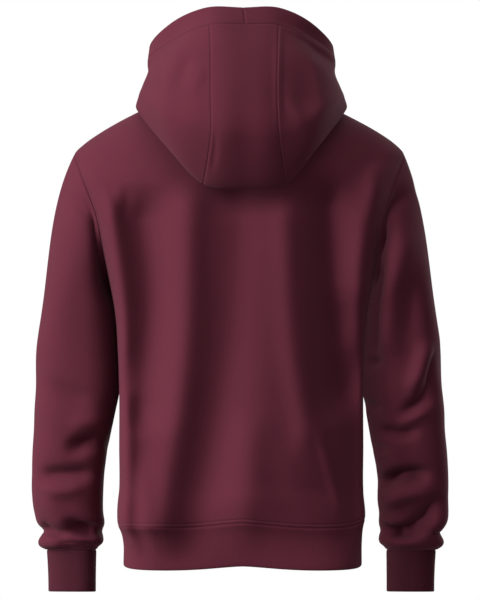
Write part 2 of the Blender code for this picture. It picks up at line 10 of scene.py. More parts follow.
import bpy
import numpy as np
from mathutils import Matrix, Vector


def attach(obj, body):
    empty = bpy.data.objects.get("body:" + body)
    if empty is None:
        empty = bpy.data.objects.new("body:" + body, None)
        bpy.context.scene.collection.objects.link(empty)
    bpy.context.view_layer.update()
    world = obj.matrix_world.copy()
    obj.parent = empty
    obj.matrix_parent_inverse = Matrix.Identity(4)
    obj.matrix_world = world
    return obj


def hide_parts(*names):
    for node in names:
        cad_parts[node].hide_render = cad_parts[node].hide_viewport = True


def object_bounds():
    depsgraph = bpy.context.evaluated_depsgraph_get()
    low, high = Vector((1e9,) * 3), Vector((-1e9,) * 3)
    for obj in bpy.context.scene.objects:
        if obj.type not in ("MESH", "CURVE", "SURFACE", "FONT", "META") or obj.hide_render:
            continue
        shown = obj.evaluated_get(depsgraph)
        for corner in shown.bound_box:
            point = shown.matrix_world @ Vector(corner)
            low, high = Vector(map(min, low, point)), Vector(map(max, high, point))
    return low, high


bl_info = {
    "name": "Pullover Hoodie",
    "version": (1, 0, 0),
    "blender": (4, 5, 0),
    "location": "View3D > Sidebar > Hoodie",
    "description": "Dresses the hoodie's frame in fleece and rib, sews it and sets up a studio",
    "category": "Object",
}

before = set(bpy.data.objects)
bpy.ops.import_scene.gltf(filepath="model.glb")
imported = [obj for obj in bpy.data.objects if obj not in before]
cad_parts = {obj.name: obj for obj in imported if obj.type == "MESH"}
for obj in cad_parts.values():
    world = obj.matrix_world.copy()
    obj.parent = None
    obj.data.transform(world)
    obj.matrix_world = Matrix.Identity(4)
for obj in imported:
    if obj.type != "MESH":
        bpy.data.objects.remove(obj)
CAD_BOX = [list(corner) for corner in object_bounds()]
COLLECTION = "hoodie_cloth"

HANDS = {"left": 1, "right": -1}
SMALLEST = 1e-12

# Rows and places that the cut is laid out in
SHOULDER_ROWS = 5
ARMHOLE_ROWS = 8
SIDE_ROWS = 8
UNDERARM_ROW = SHOULDER_ROWS + ARMHOLE_ROWS
BODY_ROWS = UNDERARM_ROW + SIDE_ROWS
BACK_PLACES = 11
FRONT_PLACES = 7
HOOD_HALF = BACK_PLACES + FRONT_PLACES
STRIP_HALF = 4

# Rough lengths of the cloth, which set where the lines of the meshes lie
BODY_WIDTH = 0.500
SHOULDER_LENGTH = 0.125
ARMHOLE_LENGTH = 0.190
SIDE_LENGTH = 0.350
SLEEVE_HALF_GIRTH = 0.215
SLEEVE_HEAD_LENGTH = 0.200
BAND_LENGTH = 0.064
CUFF_GIRTH = 0.200
CUFF_LENGTH = 0.062
HOOD_PLACE_WIDTH = 0.0235
HOOD_LENGTH = 0.360
HOOD_BAND_LENGTH = 0.034
BAND_CELL = 0.0050
HOOD_CELL = 0.0030
LINES_A_RIB = 4

# Body and hem band: drops of their landmarks and how far the hem waves
SHOULDER_DROP = 0.088
UNDERARM_DROP = 0.280
HEM_SIDE_DROP = 0.636
HEM_CENTRE_DROP = 0.642
HEM_WAVE = 0.0085
BAND_SIDE_DROP = 0.702
BAND_CENTRE_DROP = 0.705
BAND_WAVE = 0.0070
CENTRE_AT_SHOULDER = 0.150
CENTRE_AT_UNDERARM = 0.310
ARMHOLE_STEEP = 0.40    # how much faster the armhole falls beside the shoulder
ROW_POWER = 1.5         # how narrowly a row bows at the centre
WAVE_POWER = 4          # keeps the hem's wave to the lowest rows
WAVE_SKEW = 0.78        # brings the wave's lowest point nearer the centre

# Where folds and creases start, end and die out
FOLD_FADE = 0.060
FLAT_ROWS = 3
SIDE_FADE = 12
BAND_FADE = 1.5
CUFF_FADE = 2
CREASE_STEPS = 32
CREASE_END = 0.25
CREASE_CLEAR = 0.012
CUFF_CLEAR = 0.006


def table(columns, *rows):
    """Return a table as a dictionary of its named columns."""
    return dict(zip(columns.split(), np.array(rows, dtype=float).T))


# Rounded sections down the body: half width, lean to the left, depths behind and in front, and how
# square the section is there
BODY = table(
    "drop   half_width  lean    back   front  square_back square_front",
    (0.000, 0.0950, 0.0000, 0.050, 0.052, 2.00, 2.00),
    (0.015, 0.1255, 0.0020, 0.061, 0.062, 2.00, 2.00),
    (0.032, 0.1605, 0.0030, 0.073, 0.072, 2.00, 2.00),
    (0.054, 0.2010, 0.0025, 0.087, 0.083, 2.05, 2.00),
    (0.076, 0.2330, 0.0025, 0.099, 0.092, 2.15, 2.03),
    (0.088, 0.2450, 0.0030, 0.105, 0.097, 2.25, 2.05),
    (0.105, 0.2465, 0.0030, 0.111, 0.104, 2.50, 2.08),
    (0.125, 0.2440, 0.0030, 0.116, 0.111, 2.90, 2.10),
    (0.155, 0.2345, 0.0025, 0.120, 0.120, 3.50, 2.15),
    (0.190, 0.2205, 0.0020, 0.122, 0.127, 4.10, 2.20),
    (0.230, 0.2080, 0.0010, 0.122, 0.133, 4.60, 2.30),
    (0.280, 0.1965, 0.0000, 0.120, 0.136, 5.00, 2.40),
    (0.324, 0.1885, 0.0000, 0.117, 0.136, 5.30, 2.40),
    (0.384, 0.1840, 0.0000, 0.113, 0.135, 5.60, 2.45),
    (0.444, 0.1820, 0.0000, 0.110, 0.133, 5.80, 2.45),
    (0.530, 0.1820, 0.0000, 0.109, 0.132, 5.80, 2.40),
    (0.594, 0.1820, 0.0000, 0.112, 0.132, 5.60, 2.40),
    (0.632, 0.1850, 0.0000, 0.117, 0.131, 5.40, 2.40),
    (0.650, 0.1835, 0.0000, 0.118, 0.129, 5.40, 2.40),
)

# The neck's drop at the centre and how narrowly it bows, and how far the armhole cuts in
BODY_SIDES = {
    "back": {"sign": 1, "neck_drop": 0.025, "neck_power": 2, "scoop": 0.560, "scoop_skew": 0.20},
    "front": {"sign": -1, "neck_drop": 0.085, "neck_power": 6, "scoop": 0.450, "scoop_skew": 0.20},
}

# Long soft folds: each runs down through three places, "rise" out from the cloth or into it
FOLD_COLUMNS = "top_x top middle_x middle end_x end rise spread"
FOLDS = {
    "back": table(
        FOLD_COLUMNS,
        (-0.022, 0.200, -0.034, 0.400, -0.020, 0.600, 0.0120, 0.080),
        (0.078, 0.180, 0.086, 0.400, 0.128, 0.680, 0.0145, 0.028),
        (-0.006, 0.110, 0.019, 0.400, 0.074, 0.680, -0.0085, 0.034),
        (-0.067, 0.190, -0.078, 0.380, -0.098, 0.500, 0.0080, 0.021),
        (-0.014, 0.520, -0.010, 0.590, -0.004, 0.680, 0.0050, 0.026),
        (-0.132, 0.165, -0.138, 0.300, -0.147, 0.440, -0.0260, 0.028),
        (-0.213, 0.345, -0.213, 0.480, -0.213, 0.680, -0.0250, 0.060),
        (-0.213, 0.430, -0.213, 0.520, -0.213, 0.680, -0.0250, 0.060),
        (0.147, 0.189, 0.136, 0.300, 0.147, 0.460, -0.0230, 0.034),
        (0.196, 0.189, 0.184, 0.309, 0.184, 0.370, 0.0150, 0.017),
        (0.188, 0.490, 0.188, 0.570, 0.188, 0.680, 0.0460, 0.022),
        (0.144, 0.600, 0.143, 0.650, 0.142, 0.720, 0.0060, 0.014),
        (-0.118, 0.600, -0.118, 0.650, -0.118, 0.720, -0.0080, 0.045),
        (-0.200, 0.150, -0.191, 0.240, -0.184, 0.335, 0.0125, 0.018),
    ),
    "front": table(
        FOLD_COLUMNS,
        (0.095, 0.240, 0.112, 0.400, 0.140, 0.640, 0.0055, 0.028),
        (0.036, 0.230, 0.050, 0.400, 0.088, 0.640, -0.0055, 0.028),
        (-0.050, 0.220, -0.046, 0.400, -0.020, 0.640, 0.0050, 0.045),
        (-0.104, 0.190, -0.116, 0.360, -0.146, 0.610, -0.0060, 0.028),
        (0.170, 0.180, 0.158, 0.280, 0.150, 0.370, -0.0040, 0.019),
    ),
}

# Short creases: each runs through three places given by X and drop
CREASE_COLUMNS = "x1 drop1 x2 drop2 x3 drop3 rise spread"
CREASES = {
    "back": table(
        CREASE_COLUMNS,
        (0.200, 0.128, 0.190, 0.155, 0.180, 0.190, -0.0030, 0.010),
        (0.170, 0.138, 0.172, 0.160, 0.176, 0.190, -0.0030, 0.009),
        (-0.112, 0.490, -0.129, 0.550, -0.154, 0.640, 0.0040, 0.008),
        (-0.180, 0.170, -0.176, 0.220, -0.166, 0.290, 0.0035, 0.014),
        (-0.040, 0.560, -0.060, 0.600, -0.090, 0.640, -0.0025, 0.020),
        (-0.226, 0.084, -0.215, 0.125, -0.200, 0.180, 0.0070, 0.020),
    ),
    "front": table(
        CREASE_COLUMNS,
        (0.190, 0.130, 0.176, 0.165, 0.160, 0.205, -0.0030, 0.011),
        (-0.186, 0.140, -0.170, 0.180, -0.150, 0.230, -0.0030, 0.011),
        (0.100, 0.500, 0.125, 0.575, 0.150, 0.640, 0.0022, 0.010),
    ),
}

HEM_BAND = table(
    "part  half_width  lean     back    front   square_back square_front",
    (0.00, 0.1840, 0.0000, 0.1185, 0.1300, 5.20, 2.40),
    (0.20, 0.1800, -0.0010, 0.1145, 0.1250, 4.80, 2.40),
    (0.50, 0.1775, -0.0020, 0.1120, 0.1215, 4.50, 2.40),
    (1.00, 0.1775, -0.0020, 0.1115, 0.1210, 4.50, 2.40),
)

# Sleeves, below where they hang free of the armhole: outer and inner edge, Y of the middle of the
# section, and half its depth
SLEEVE = table(
    "drop  outer_left  outer_right  inner_left  inner_right  reach  depth",
    (0.324, 0.2985, 0.2905, 0.1905, 0.1885, -0.014, 0.072),
    (0.384, 0.3070, 0.2990, 0.1850, 0.1840, -0.026, 0.070),
    (0.444, 0.3080, 0.3010, 0.1835, 0.1830, -0.036, 0.067),
    (0.474, 0.3100, 0.3040, 0.1895, 0.1880, -0.042, 0.064),
    (0.504, 0.3110, 0.3050, 0.1960, 0.1930, -0.048, 0.061),
    (0.534, 0.3130, 0.3080, 0.2020, 0.1990, -0.054, 0.058),
    (0.564, 0.3140, 0.3100, 0.2060, 0.2045, -0.061, 0.055),
    (0.600, 0.3140, 0.3105, 0.2085, 0.2060, -0.070, 0.052),
    (0.628, 0.3105, 0.3095, 0.2085, 0.2085, -0.077, 0.049),
    (0.646, 0.3050, 0.3040, 0.2065, 0.2080, -0.081, 0.046),
    (0.6565, 0.2965, 0.2955, 0.2095, 0.2100, -0.084, 0.041),
    (0.665, 0.3015, 0.3010, 0.2080, 0.2080, -0.086, 0.044),
    (0.673, 0.3050, 0.3040, 0.2090, 0.2090, -0.088, 0.045),
    (0.680, 0.3010, 0.2995, 0.2160, 0.2165, -0.091, 0.041),
    (0.684, 0.2920, 0.2920, 0.2190, 0.2195, -0.092, 0.031),
)
SLEEVE_TOP = 0.324
SLEEVE_AIM_DROP = 0.365         # the sleeve's head comes down towards this drop
SLEEVE_SQUARE = 2.6
SLEEVE_TURN = {"left": 0.25, "right": -0.20}    # slope forwards from the inner to the outer edge

# The way in which the sleeve's head leaves the armhole: outwards at the top and at the underarm,
# towards back and front, and down
SLEEVE_OUT = {"left": 0.46, "right": 0.38}
UNDERARM_OUT = -0.12
SLEEVE_SPREAD = 0.12
SLEEVE_DOWN = 0.88

# Creases of the sleeves, on their backs and on their fronts; they wrap a little past the side
CREASE_WRAP = 0.35
SLEEVE_CREASES = {
    ("left", "back"): table(
        CREASE_COLUMNS,
        (0.226, 0.150, 0.205, 0.230, 0.196, 0.330, -0.0096, 0.014),
        (0.262, 0.150, 0.245, 0.165, 0.226, 0.182, -0.0032, 0.007),
        (0.286, 0.430, 0.260, 0.452, 0.226, 0.462, -0.0070, 0.017),
        (0.258, 0.496, 0.232, 0.492, 0.198, 0.490, 0.0050, 0.012),
        (0.258, 0.532, 0.234, 0.524, 0.198, 0.520, -0.0170, 0.012),
        (0.304, 0.570, 0.270, 0.572, 0.212, 0.568, -0.0120, 0.012),
        (0.300, 0.592, 0.270, 0.594, 0.235, 0.590, 0.0056, 0.012),
        (0.300, 0.602, 0.275, 0.630, 0.235, 0.648, 0.0048, 0.012),
        (0.262, 0.640, 0.238, 0.653, 0.204, 0.656, -0.0160, 0.010),
        (0.280, 0.672, 0.245, 0.677, 0.212, 0.676, -0.0064, 0.007),
        (0.300, 0.640, 0.285, 0.656, 0.258, 0.666, -0.0056, 0.006),
    ),
    ("right", "back"): table(
        CREASE_COLUMNS,
        (-0.258, 0.138, -0.222, 0.180, -0.200, 0.260, -0.0135, 0.012),
        (-0.212, 0.230, -0.199, 0.320, -0.194, 0.420, -0.0160, 0.011),
        (-0.242, 0.190, -0.229, 0.290, -0.221, 0.410, 0.0170, 0.021),
        (-0.252, 0.270, -0.248, 0.320, -0.250, 0.370, -0.0073, 0.018),
        (-0.278, 0.365, -0.269, 0.410, -0.253, 0.450, 0.0114, 0.012),
        (-0.296, 0.370, -0.280, 0.448, -0.237, 0.486, -0.0140, 0.010),
        (-0.180, 0.400, -0.195, 0.403, -0.214, 0.396, -0.0090, 0.007),
        (-0.182, 0.462, -0.196, 0.468, -0.208, 0.470, -0.0090, 0.006),
        (-0.240, 0.492, -0.260, 0.480, -0.280, 0.470, 0.0083, 0.010),
        (-0.205, 0.500, -0.235, 0.510, -0.268, 0.504, -0.0094, 0.009),
        (-0.196, 0.528, -0.208, 0.532, -0.218, 0.532, -0.0062, 0.006),
        (-0.206, 0.588, -0.236, 0.574, -0.286, 0.571, -0.0220, 0.010),
        (-0.210, 0.618, -0.240, 0.602, -0.290, 0.594, 0.0094, 0.012),
        (-0.304, 0.598, -0.262, 0.650, -0.218, 0.664, -0.0170, 0.010),
        (-0.306, 0.622, -0.292, 0.648, -0.268, 0.668, 0.0073, 0.010),
        (-0.210, 0.646, -0.226, 0.656, -0.244, 0.658, -0.0094, 0.007),
    ),
    ("left", "front"): table(
        CREASE_COLUMNS,
        (0.250, 0.150, 0.220, 0.200, 0.205, 0.280, -0.0055, 0.014),
        (0.200, 0.486, 0.230, 0.494, 0.270, 0.512, -0.0065, 0.010),
        (0.200, 0.512, 0.232, 0.524, 0.280, 0.540, 0.0045, 0.012),
        (0.212, 0.566, 0.250, 0.556, 0.300, 0.552, -0.0060, 0.010),
        (0.230, 0.640, 0.262, 0.630, 0.296, 0.612, -0.0045, 0.010),
    ),
    ("right", "front"): table(
        CREASE_COLUMNS,
        (-0.256, 0.140, -0.224, 0.195, -0.204, 0.290, -0.0060, 0.014),
        (-0.196, 0.496, -0.232, 0.510, -0.272, 0.516, -0.0060, 0.010),
        (-0.200, 0.524, -0.236, 0.536, -0.280, 0.540, 0.0040, 0.012),
        (-0.212, 0.586, -0.244, 0.570, -0.296, 0.566, -0.0065, 0.009),
        (-0.228, 0.648, -0.258, 0.634, -0.292, 0.606, -0.0045, 0.010),
    ),
}

# Cuffs
CUFF_OUTER = 0.2895
CUFF_INNER = 0.2200
CUFF_DEPTH = 0.0285
CUFF_REACH = -0.092
CUFF_TOP = 0.684
CUFF_END = 0.746
CUFF_FORWARD = 0.008

# Rows up the hood's side, from the neck seam; in each, how far the middle of its back leans to the
# left, and how its back turns from side to side
HOOD_ROWS = table(
    "row   lean    turn",
    (0, 0.0000, 0.00),
    (2, 0.0000, 0.00),
    (4, -0.0085, 0.00),
    (6, -0.0080, 0.08),
    (8, -0.0055, 0.17),
    (10, -0.0060, 0.26),
    (12, -0.0060, 0.30),
    (14, -0.0030, 0.18),
)
HOOD_FOLD_ROW = 4
BAND_SEAM_ROW = 12
HOOD_EDGE_ROW = 14
HOOD_LEAN_WIDTH = 0.085

# Points of the rows above the neck seam, one for each place from the centre of the back to the
# centre of the front
HOOD_PLACES = (0, 4, 7.5, 11, 14.5, 16.5, HOOD_HALF)
HOOD = {
    "under": ((0.000, 0.108, -0.056), (0.050, 0.104, -0.053), (0.088, 0.082, -0.032),
              (0.122, 0.014, -0.005), (0.098, -0.062, -0.014), (0.084, -0.091, -0.052),
              (0.003, -0.110, -0.082)),
    "fold": ((0.000, 0.157, -0.142), (0.062, 0.149, -0.135), (0.110, 0.132, -0.082),
             (0.1555, 0.028, -0.022), (0.118, -0.076, -0.042), (0.088, -0.104, -0.064),
             (0.006, -0.119, -0.077)),
    "outside_low": ((0.000, 0.203, -0.066), (0.051, 0.198, -0.064), (0.119, 0.162, -0.035),
                    (0.1535, 0.036, -0.003), (0.120, -0.077, -0.025), (0.088, -0.106, -0.050),
                    (0.007, -0.121, -0.070)),
    "outside": ((0.000, 0.193, 0.000), (0.0495, 0.187, 0.000), (0.116, 0.152, 0.008),
                (0.147, 0.040, 0.014), (0.118, -0.075, -0.010), (0.086, -0.105, -0.038),
                (0.008, -0.121, -0.063)),
    "outside_high": ((0.000, 0.157, 0.058), (0.050, 0.152, 0.057), (0.107, 0.129, 0.053),
                     (0.1395, 0.040, 0.033), (0.115, -0.072, 0.004), (0.082, -0.102, -0.027),
                     (0.009, -0.119, -0.056)),
    "band_seam": ((0.000, 0.115, 0.103), (0.052, 0.110, 0.102), (0.096, 0.088, 0.084),
                  (0.1400, 0.034, 0.049), (0.111, -0.068, 0.016), (0.078, -0.098, -0.016),
                  (0.010, -0.116, -0.049)),
    "edge": ((0.000, 0.092, 0.128), (0.056, 0.086, 0.1275), (0.104, 0.066, 0.106),
             (0.1375, 0.014, 0.069), (0.106, -0.062, 0.038), (0.073, -0.092, 0.005),
             (0.013, -0.110, -0.028)),
}
HOOD_CREASES = table(
    CREASE_COLUMNS,
    (0.074, -0.062, 0.086, -0.035, 0.094, -0.006, -0.0028, 0.010),
    (0.058, -0.040, 0.066, -0.020, 0.074, 0.000, 0.0018, 0.010),
    (-0.070, -0.020, -0.078, 0.018, -0.098, 0.052, 0.0022, 0.010),
    (0.046, 0.040, 0.040, 0.080, 0.046, 0.122, -0.0015, 0.006),
    (0.088, -0.075, 0.098, -0.010, 0.092, 0.070, -0.0050, 0.024),
    (-0.104, -0.085, -0.110, -0.030, -0.106, 0.048, -0.0190, 0.038),
    (-0.124, 0.050, -0.116, 0.075, -0.098, 0.110, 0.0090, 0.036),
)

# The hood's pieces: first and last place, the row that they start from, and their sewn edges
HOOD_PIECES = {
    "hood_right": (-HOOD_HALF, -STRIP_HALF, "neck", ("top", "bottom", "last")),
    "hood_centre": (-STRIP_HALF, STRIP_HALF, "neck", ("top", "bottom", "first", "last")),
    "hood_left": (STRIP_HALF, HOOD_HALF, "neck", ("top", "bottom", "first")),
    "hood_band_right": (-HOOD_HALF, 0, "band", ("top", "last")),
    "hood_band_left": (0, HOOD_HALF, "band", ("top", "first")),
}

# Fine lines of the meshes beside a sewn edge, the swell beside a seam, and the groove under a row
# of stitches
EDGE_LINES = (0.0, 0.0007, 0.0014, 0.0022, 0.0031, 0.0041, 0.0052, 0.0064, 0.0077, 0.0092, 0.0110)
PUFF = 0.0010
PUFF_WIDTH = 0.0018
HOOD_PUFF = 0.6
NEEDLE_DEPTH = 0.00090
NEEDLE_WIDTH = 0.0010
NEEDLE_END_ROWS = 0.25
RIM_TURNS = (0.25, 0.5, 0.75)

# Rows of stitches: how far they lie from their seams
ARMHOLE_NEEDLES = (0.0018, 0.0078)
HEM_NEEDLE = 0.0055
HOOD_NEEDLE = 0.0020
CUFF_NEEDLE = 0.0030
HOOD_STITCHES = (
    ("hood_left", "first"),
    ("hood_right", "last"),
    ("hood_band_left", "top"),
    ("hood_band_right", "top"),
)

# Rings along one stitch, from end to end: place, girth and height above the cloth
STITCH = table(
    "along  girth  height",
    (-1.0, 0.45, -0.75),
    (-0.7, 0.90, 0.25),
    (0.0, 1.00, 0.55),
    (0.7, 0.90, 0.25),
    (1.0, 0.45, -0.75),
)
STITCH_SIDES = 6
STITCH_REACH = 0.40

# Finishes
FLEECE_KNIT = {"wale": 0.0011, "course": 0.0009, "loops": 0.6, "fuzz": 0.9, "sheen": 0.08}
BRUSHED_KNIT = {"wale": 0.0016, "course": 0.0013, "loops": 0.2, "fuzz": 2.2, "sheen": 0.20}
RIB_KNIT = {"wale": 0.0013, "course": 0.0010, "loops": 0.8, "fuzz": 0.7, "sheen": 0.06}
LOOP_RISE = 0.5
PATCHES = {"scale": 11.0, "detail": 3.0}
PATCH_SHADES = (0.93, 1.07)
FLECKS = {"scale": 1400.0, "detail": 2.0, "roughness": 0.7}
FLECK_SHADES = (0.90, 1.10)
# Painted shade: the rib knit's colour is darker in the grooves between its ribs
PAINTED_RIB_GROOVE_SHADES = (0.97, 1.03)
# Painted shade: ambient occlusion darkens the cloth's colour in creases, gaps and under overhangs
PAINTED_SHADE_REACH = 0.050
PAINTED_SHADE_SAMPLES = 8
PAINTED_SHADE_LEVELS = (0.50, 1.0)
CLOTH_BUMP = {"Strength": 0.35, "Distance": 0.0002}
CLOTH_ROUGHNESS = (0.86, 0.96)
CLOTH_FINISH = {
    "Specular IOR Level": 0.12,
    "Sheen Roughness": 0.55,
    "Sheen Tint": (0.95, 0.55, 0.62, 1),
}
TWIST = {"Scale": 900.0, "Distortion": 1.0}
TWIST_SHADES = (0.88, 1.08)
THREAD_BUMP = {"Strength": 0.3, "Distance": 0.0001}
THREAD_FINISH = {"Roughness": 0.55, "Specular IOR Level": 0.35}
FLOOR_FINISH = {"Base Color": (0.90, 0.89, 0.88, 1), "Roughness": 0.9}

# Studio: each light's name, where it comes from, its width in degrees and whether it casts shadows
SUNS = (
    ("key", (0.80, 0.42, 0.42), 40, True),
    ("side", (0.90, 0.20, 0.38), 40, False),
    ("top", (-0.10, 0.40, 0.90), 50, True),
    ("fill", (0.08, 1.00, 0.10), 80, True),
    ("front", (-0.50, -1.00, 0.35), 60, True),
)
FLOOR_RADIUS = 3.0
FLOOR_SIDES = 96
CAMERA_RANGE = 100


class HoodieCloth(bpy.types.PropertyGroup):
    """Sizes of the cloth, its ribs and its stitches."""

    fleece: bpy.props.FloatProperty(
        name="Fleece", description="Thickness of the fleece", default=0.0022, unit="LENGTH")
    rib: bpy.props.FloatProperty(
        name="Rib", description="Thickness of the rib bands", default=0.0030, unit="LENGTH")
    hood_band: bpy.props.FloatProperty(
        name="Hood Band", description="Thickness of the hood's edge band", default=0.0030,
        unit="LENGTH")
    cell: bpy.props.FloatProperty(
        name="Cell", description="Size of the cells of the meshes", default=0.0036, unit="LENGTH")
    rib_pitch: bpy.props.FloatProperty(
        name="Rib Pitch", description="Distance from rib to rib", default=0.0026, unit="LENGTH")
    rib_rise: bpy.props.FloatProperty(
        name="Rib Rise", description="Height of a rib above its grooves", default=0.00022,
        unit="LENGTH")
    stitch: bpy.props.FloatProperty(
        name="Stitch", description="Length from stitch to stitch", default=0.0030, unit="LENGTH")
    thread: bpy.props.FloatProperty(
        name="Thread", description="Thickness of the thread", default=0.00055, unit="LENGTH")


class HoodieColours(bpy.types.PropertyGroup):
    """Colours of the cloth and the thread."""

    fleece: bpy.props.FloatVectorProperty(
        name="Fleece", description="Face of the fleece", subtype="COLOR", size=3, min=0, max=1,
        default=(0.125, 0.0215, 0.0395))
    brushed: bpy.props.FloatVectorProperty(
        name="Brushed Side", description="Brushed inside of the fleece", subtype="COLOR", size=3,
        min=0, max=1, default=(0.135, 0.030, 0.048))
    rib: bpy.props.FloatVectorProperty(
        name="Hem Rib", description="Rib of the hem", subtype="COLOR", size=3,
        min=0, max=1, default=(0.128, 0.0220, 0.040))
    # Painted shade: the cuffs' rib is the hem's rib knit made darker to stand for the shade on the
    # cuffs
    cuff: bpy.props.FloatVectorProperty(
        name="Cuff Rib", description="Rib of the cuffs", subtype="COLOR", size=3,
        min=0, max=1, default=(0.082, 0.0150, 0.027))
    thread: bpy.props.FloatVectorProperty(
        name="Thread", description="Sewing thread", subtype="COLOR", size=3, min=0, max=1,
        default=(0.150, 0.030, 0.052))


class HoodieStudio(bpy.types.PropertyGroup):
    """Camera and light."""

    view_distance: bpy.props.FloatProperty(
        name="Distance", description="From the camera to the garment", default=24.0, unit="LENGTH")
    view_height: bpy.props.FloatProperty(
        name="Field Height", description="Height of the field of view at the garment",
        default=0.900, unit="LENGTH")
    key: bpy.props.FloatProperty(
        name="Key Light", description="Strength of the light from the upper side", default=2.44)
    side: bpy.props.FloatProperty(
        name="Side Light", description="Strength of the shadowless light beside it", default=1.55)
    top: bpy.props.FloatProperty(
        name="Top Light", description="Strength of the light from above", default=0.40)
    fill: bpy.props.FloatProperty(
        name="Fill Light", description="Strength of the light beside the camera", default=0.50)
    front: bpy.props.FloatProperty(
        name="Front Light", description="Strength of the light on the front", default=1.30)
    around: bpy.props.FloatProperty(
        name="Light Around", description="Strength of the light from all around", default=0.10)
    floor_drop: bpy.props.FloatProperty(
        name="Floor", description="Distance of the floor below the cuffs", default=0.30,
        unit="LENGTH")


# Curves and grids

def hermite(start, leave, end, arrive, part):
    """Return the place a part of the way along a curve with the given ends and end slopes."""
    square = part * part
    cube = square * part
    return (
        start * (2 * cube - 3 * square + 1)
        + leave * (cube - 2 * square + part)
        + end * (3 * square - 2 * cube)
        + arrive * (cube - square)
    )


def smooth(knots, values, places):
    """Read values, given at rising knots, along a smooth curve; beyond the ends it stays level."""
    knots = np.asarray(knots, dtype=float)
    values = np.asarray(values, dtype=float)
    places = np.clip(places, knots[0], knots[-1])
    slopes = np.gradient(values, knots, axis=0)
    cell = np.clip(np.searchsorted(knots, places) - 1, 0, len(knots) - 2)
    step = knots[cell + 1] - knots[cell]
    part = (places - knots[cell]) / step
    if values.ndim > 1:
        part = part[..., None]
        step = step[..., None]
    after = cell + 1
    return hermite(values[cell], slopes[cell] * step, values[after], slopes[after] * step, part)


def ease(part):
    """Rise smoothly from 0 to 1."""
    part = np.clip(part, 0, 1)
    return part * part * (3 - 2 * part)


def unit(vectors):
    """Scale vectors to length 1."""
    length = np.linalg.norm(vectors, axis=-1, keepdims=True)
    return vectors / np.maximum(length, SMALLEST)


def slopes_of(points, tube):
    """Return the steps round and down a grid of points at each of them."""
    down = np.gradient(points, axis=0)
    around = np.gradient(points, axis=1)
    if tube:
        across_weld = points[:, 1] - points[:, -2]
        around[:, 0] = across_weld / 2
        around[:, -1] = across_weld / 2
    return around, down


def facing(points, face, tube=False):
    """Return the outward direction at each point of a grid; face is 1 or -1."""
    around, down = slopes_of(points, tube)
    return unit(np.cross(unit(around), unit(down))) * face


def run(points, axis):
    """Return the distance along a grid's lines from their first point, rows down or across."""
    steps = np.linalg.norm(np.diff(points, axis=axis), axis=-1)
    start = np.zeros_like(np.take(steps, [0], axis=axis))
    return np.concatenate([start, np.cumsum(steps, axis=axis)], axis=axis)


def lines(length, cell, first, last):
    """Return places from 0 to 1 along a length, close together beside a sewn first or last end."""
    fine = np.array(EDGE_LINES)
    start = fine if first else fine[:1]
    end = length - fine[::-1] if last else np.array([length])
    count = max(2, round((end[0] - start[-1]) / cell) + 1)
    middle = np.linspace(start[-1], end[0], count)
    return np.concatenate([start[:-1], middle, end[1:]]) / length


def crease_lift(creases, x, drop):
    """Return how far short creases lift the cloth at X and drop."""
    lift = np.zeros_like(x)
    steps = np.linspace(0, 1, CREASE_STEPS)
    for x1, drop1, x2, drop2, x3, drop3, rise, spread in zip(*creases.values()):
        line = smooth((0, 0.5, 1), ((x1, drop1), (x2, drop2), (x3, drop3)), steps)
        step = np.linalg.norm(np.gradient(line, axis=0), axis=-1)
        ends = ease(steps / CREASE_END) * ease((1 - steps) / CREASE_END)
        weight = step * ends / (spread * math.sqrt(math.pi))
        for (line_x, line_drop), part in zip(line, weight):
            gap = (x - line_x) ** 2 + (drop - line_drop) ** 2
            lift += rise * part * np.exp(-gap / spread ** 2)
    return lift


# Body

def section(sizes, column, places, side, angle):
    """Return X and Y on the rounded section of the body; angle is 0 at its centre line."""
    square = smooth(sizes[column], sizes[f"square_{side}"], places)
    width = smooth(sizes[column], sizes["half_width"], places)
    depth = smooth(sizes[column], sizes[side], places)
    lean = smooth(sizes[column], sizes["lean"], places)
    sine = np.sin(angle)
    cosine = np.maximum(np.cos(angle), 0)
    reach = (np.abs(sine) ** square + cosine ** square) ** (-1 / square)
    return width * sine * reach + lean, BODY_SIDES[side]["sign"] * depth * cosine * reach


def hem_wave(angle):
    """Return how far the hem dips between its centre and its sides, from 0 to 1."""
    from_centre = np.arcsin(np.minimum(np.abs(np.sin(angle)), 1)) * 2 / math.pi
    return np.sin(math.pi * from_centre ** WAVE_SKEW) ** 2


def side_edge(side, rows):
    """Return angle and drop down a body piece's side edge: shoulder seam, armhole, side seam."""
    sizes = BODY_SIDES[side]
    along = np.clip((rows - SHOULDER_ROWS) / ARMHOLE_ROWS, 0, 1)
    swing = math.pi * along
    shoulder = SHOULDER_DROP * np.clip(rows / SHOULDER_ROWS, 0, 1)
    armhole = (1 - np.cos(swing)) / 2 + ARMHOLE_STEEP * along * (1 - along) ** 2
    armhole = (UNDERARM_DROP - SHOULDER_DROP) * armhole
    below = np.clip((rows - UNDERARM_ROW) / SIDE_ROWS, 0, 1)
    seam = (HEM_SIDE_DROP - UNDERARM_DROP) * below
    scoop = sizes["scoop"] * (1 + sizes["scoop_skew"] * np.cos(swing)) * np.sin(swing)
    return math.pi / 2 - scoop, shoulder + armhole + seam


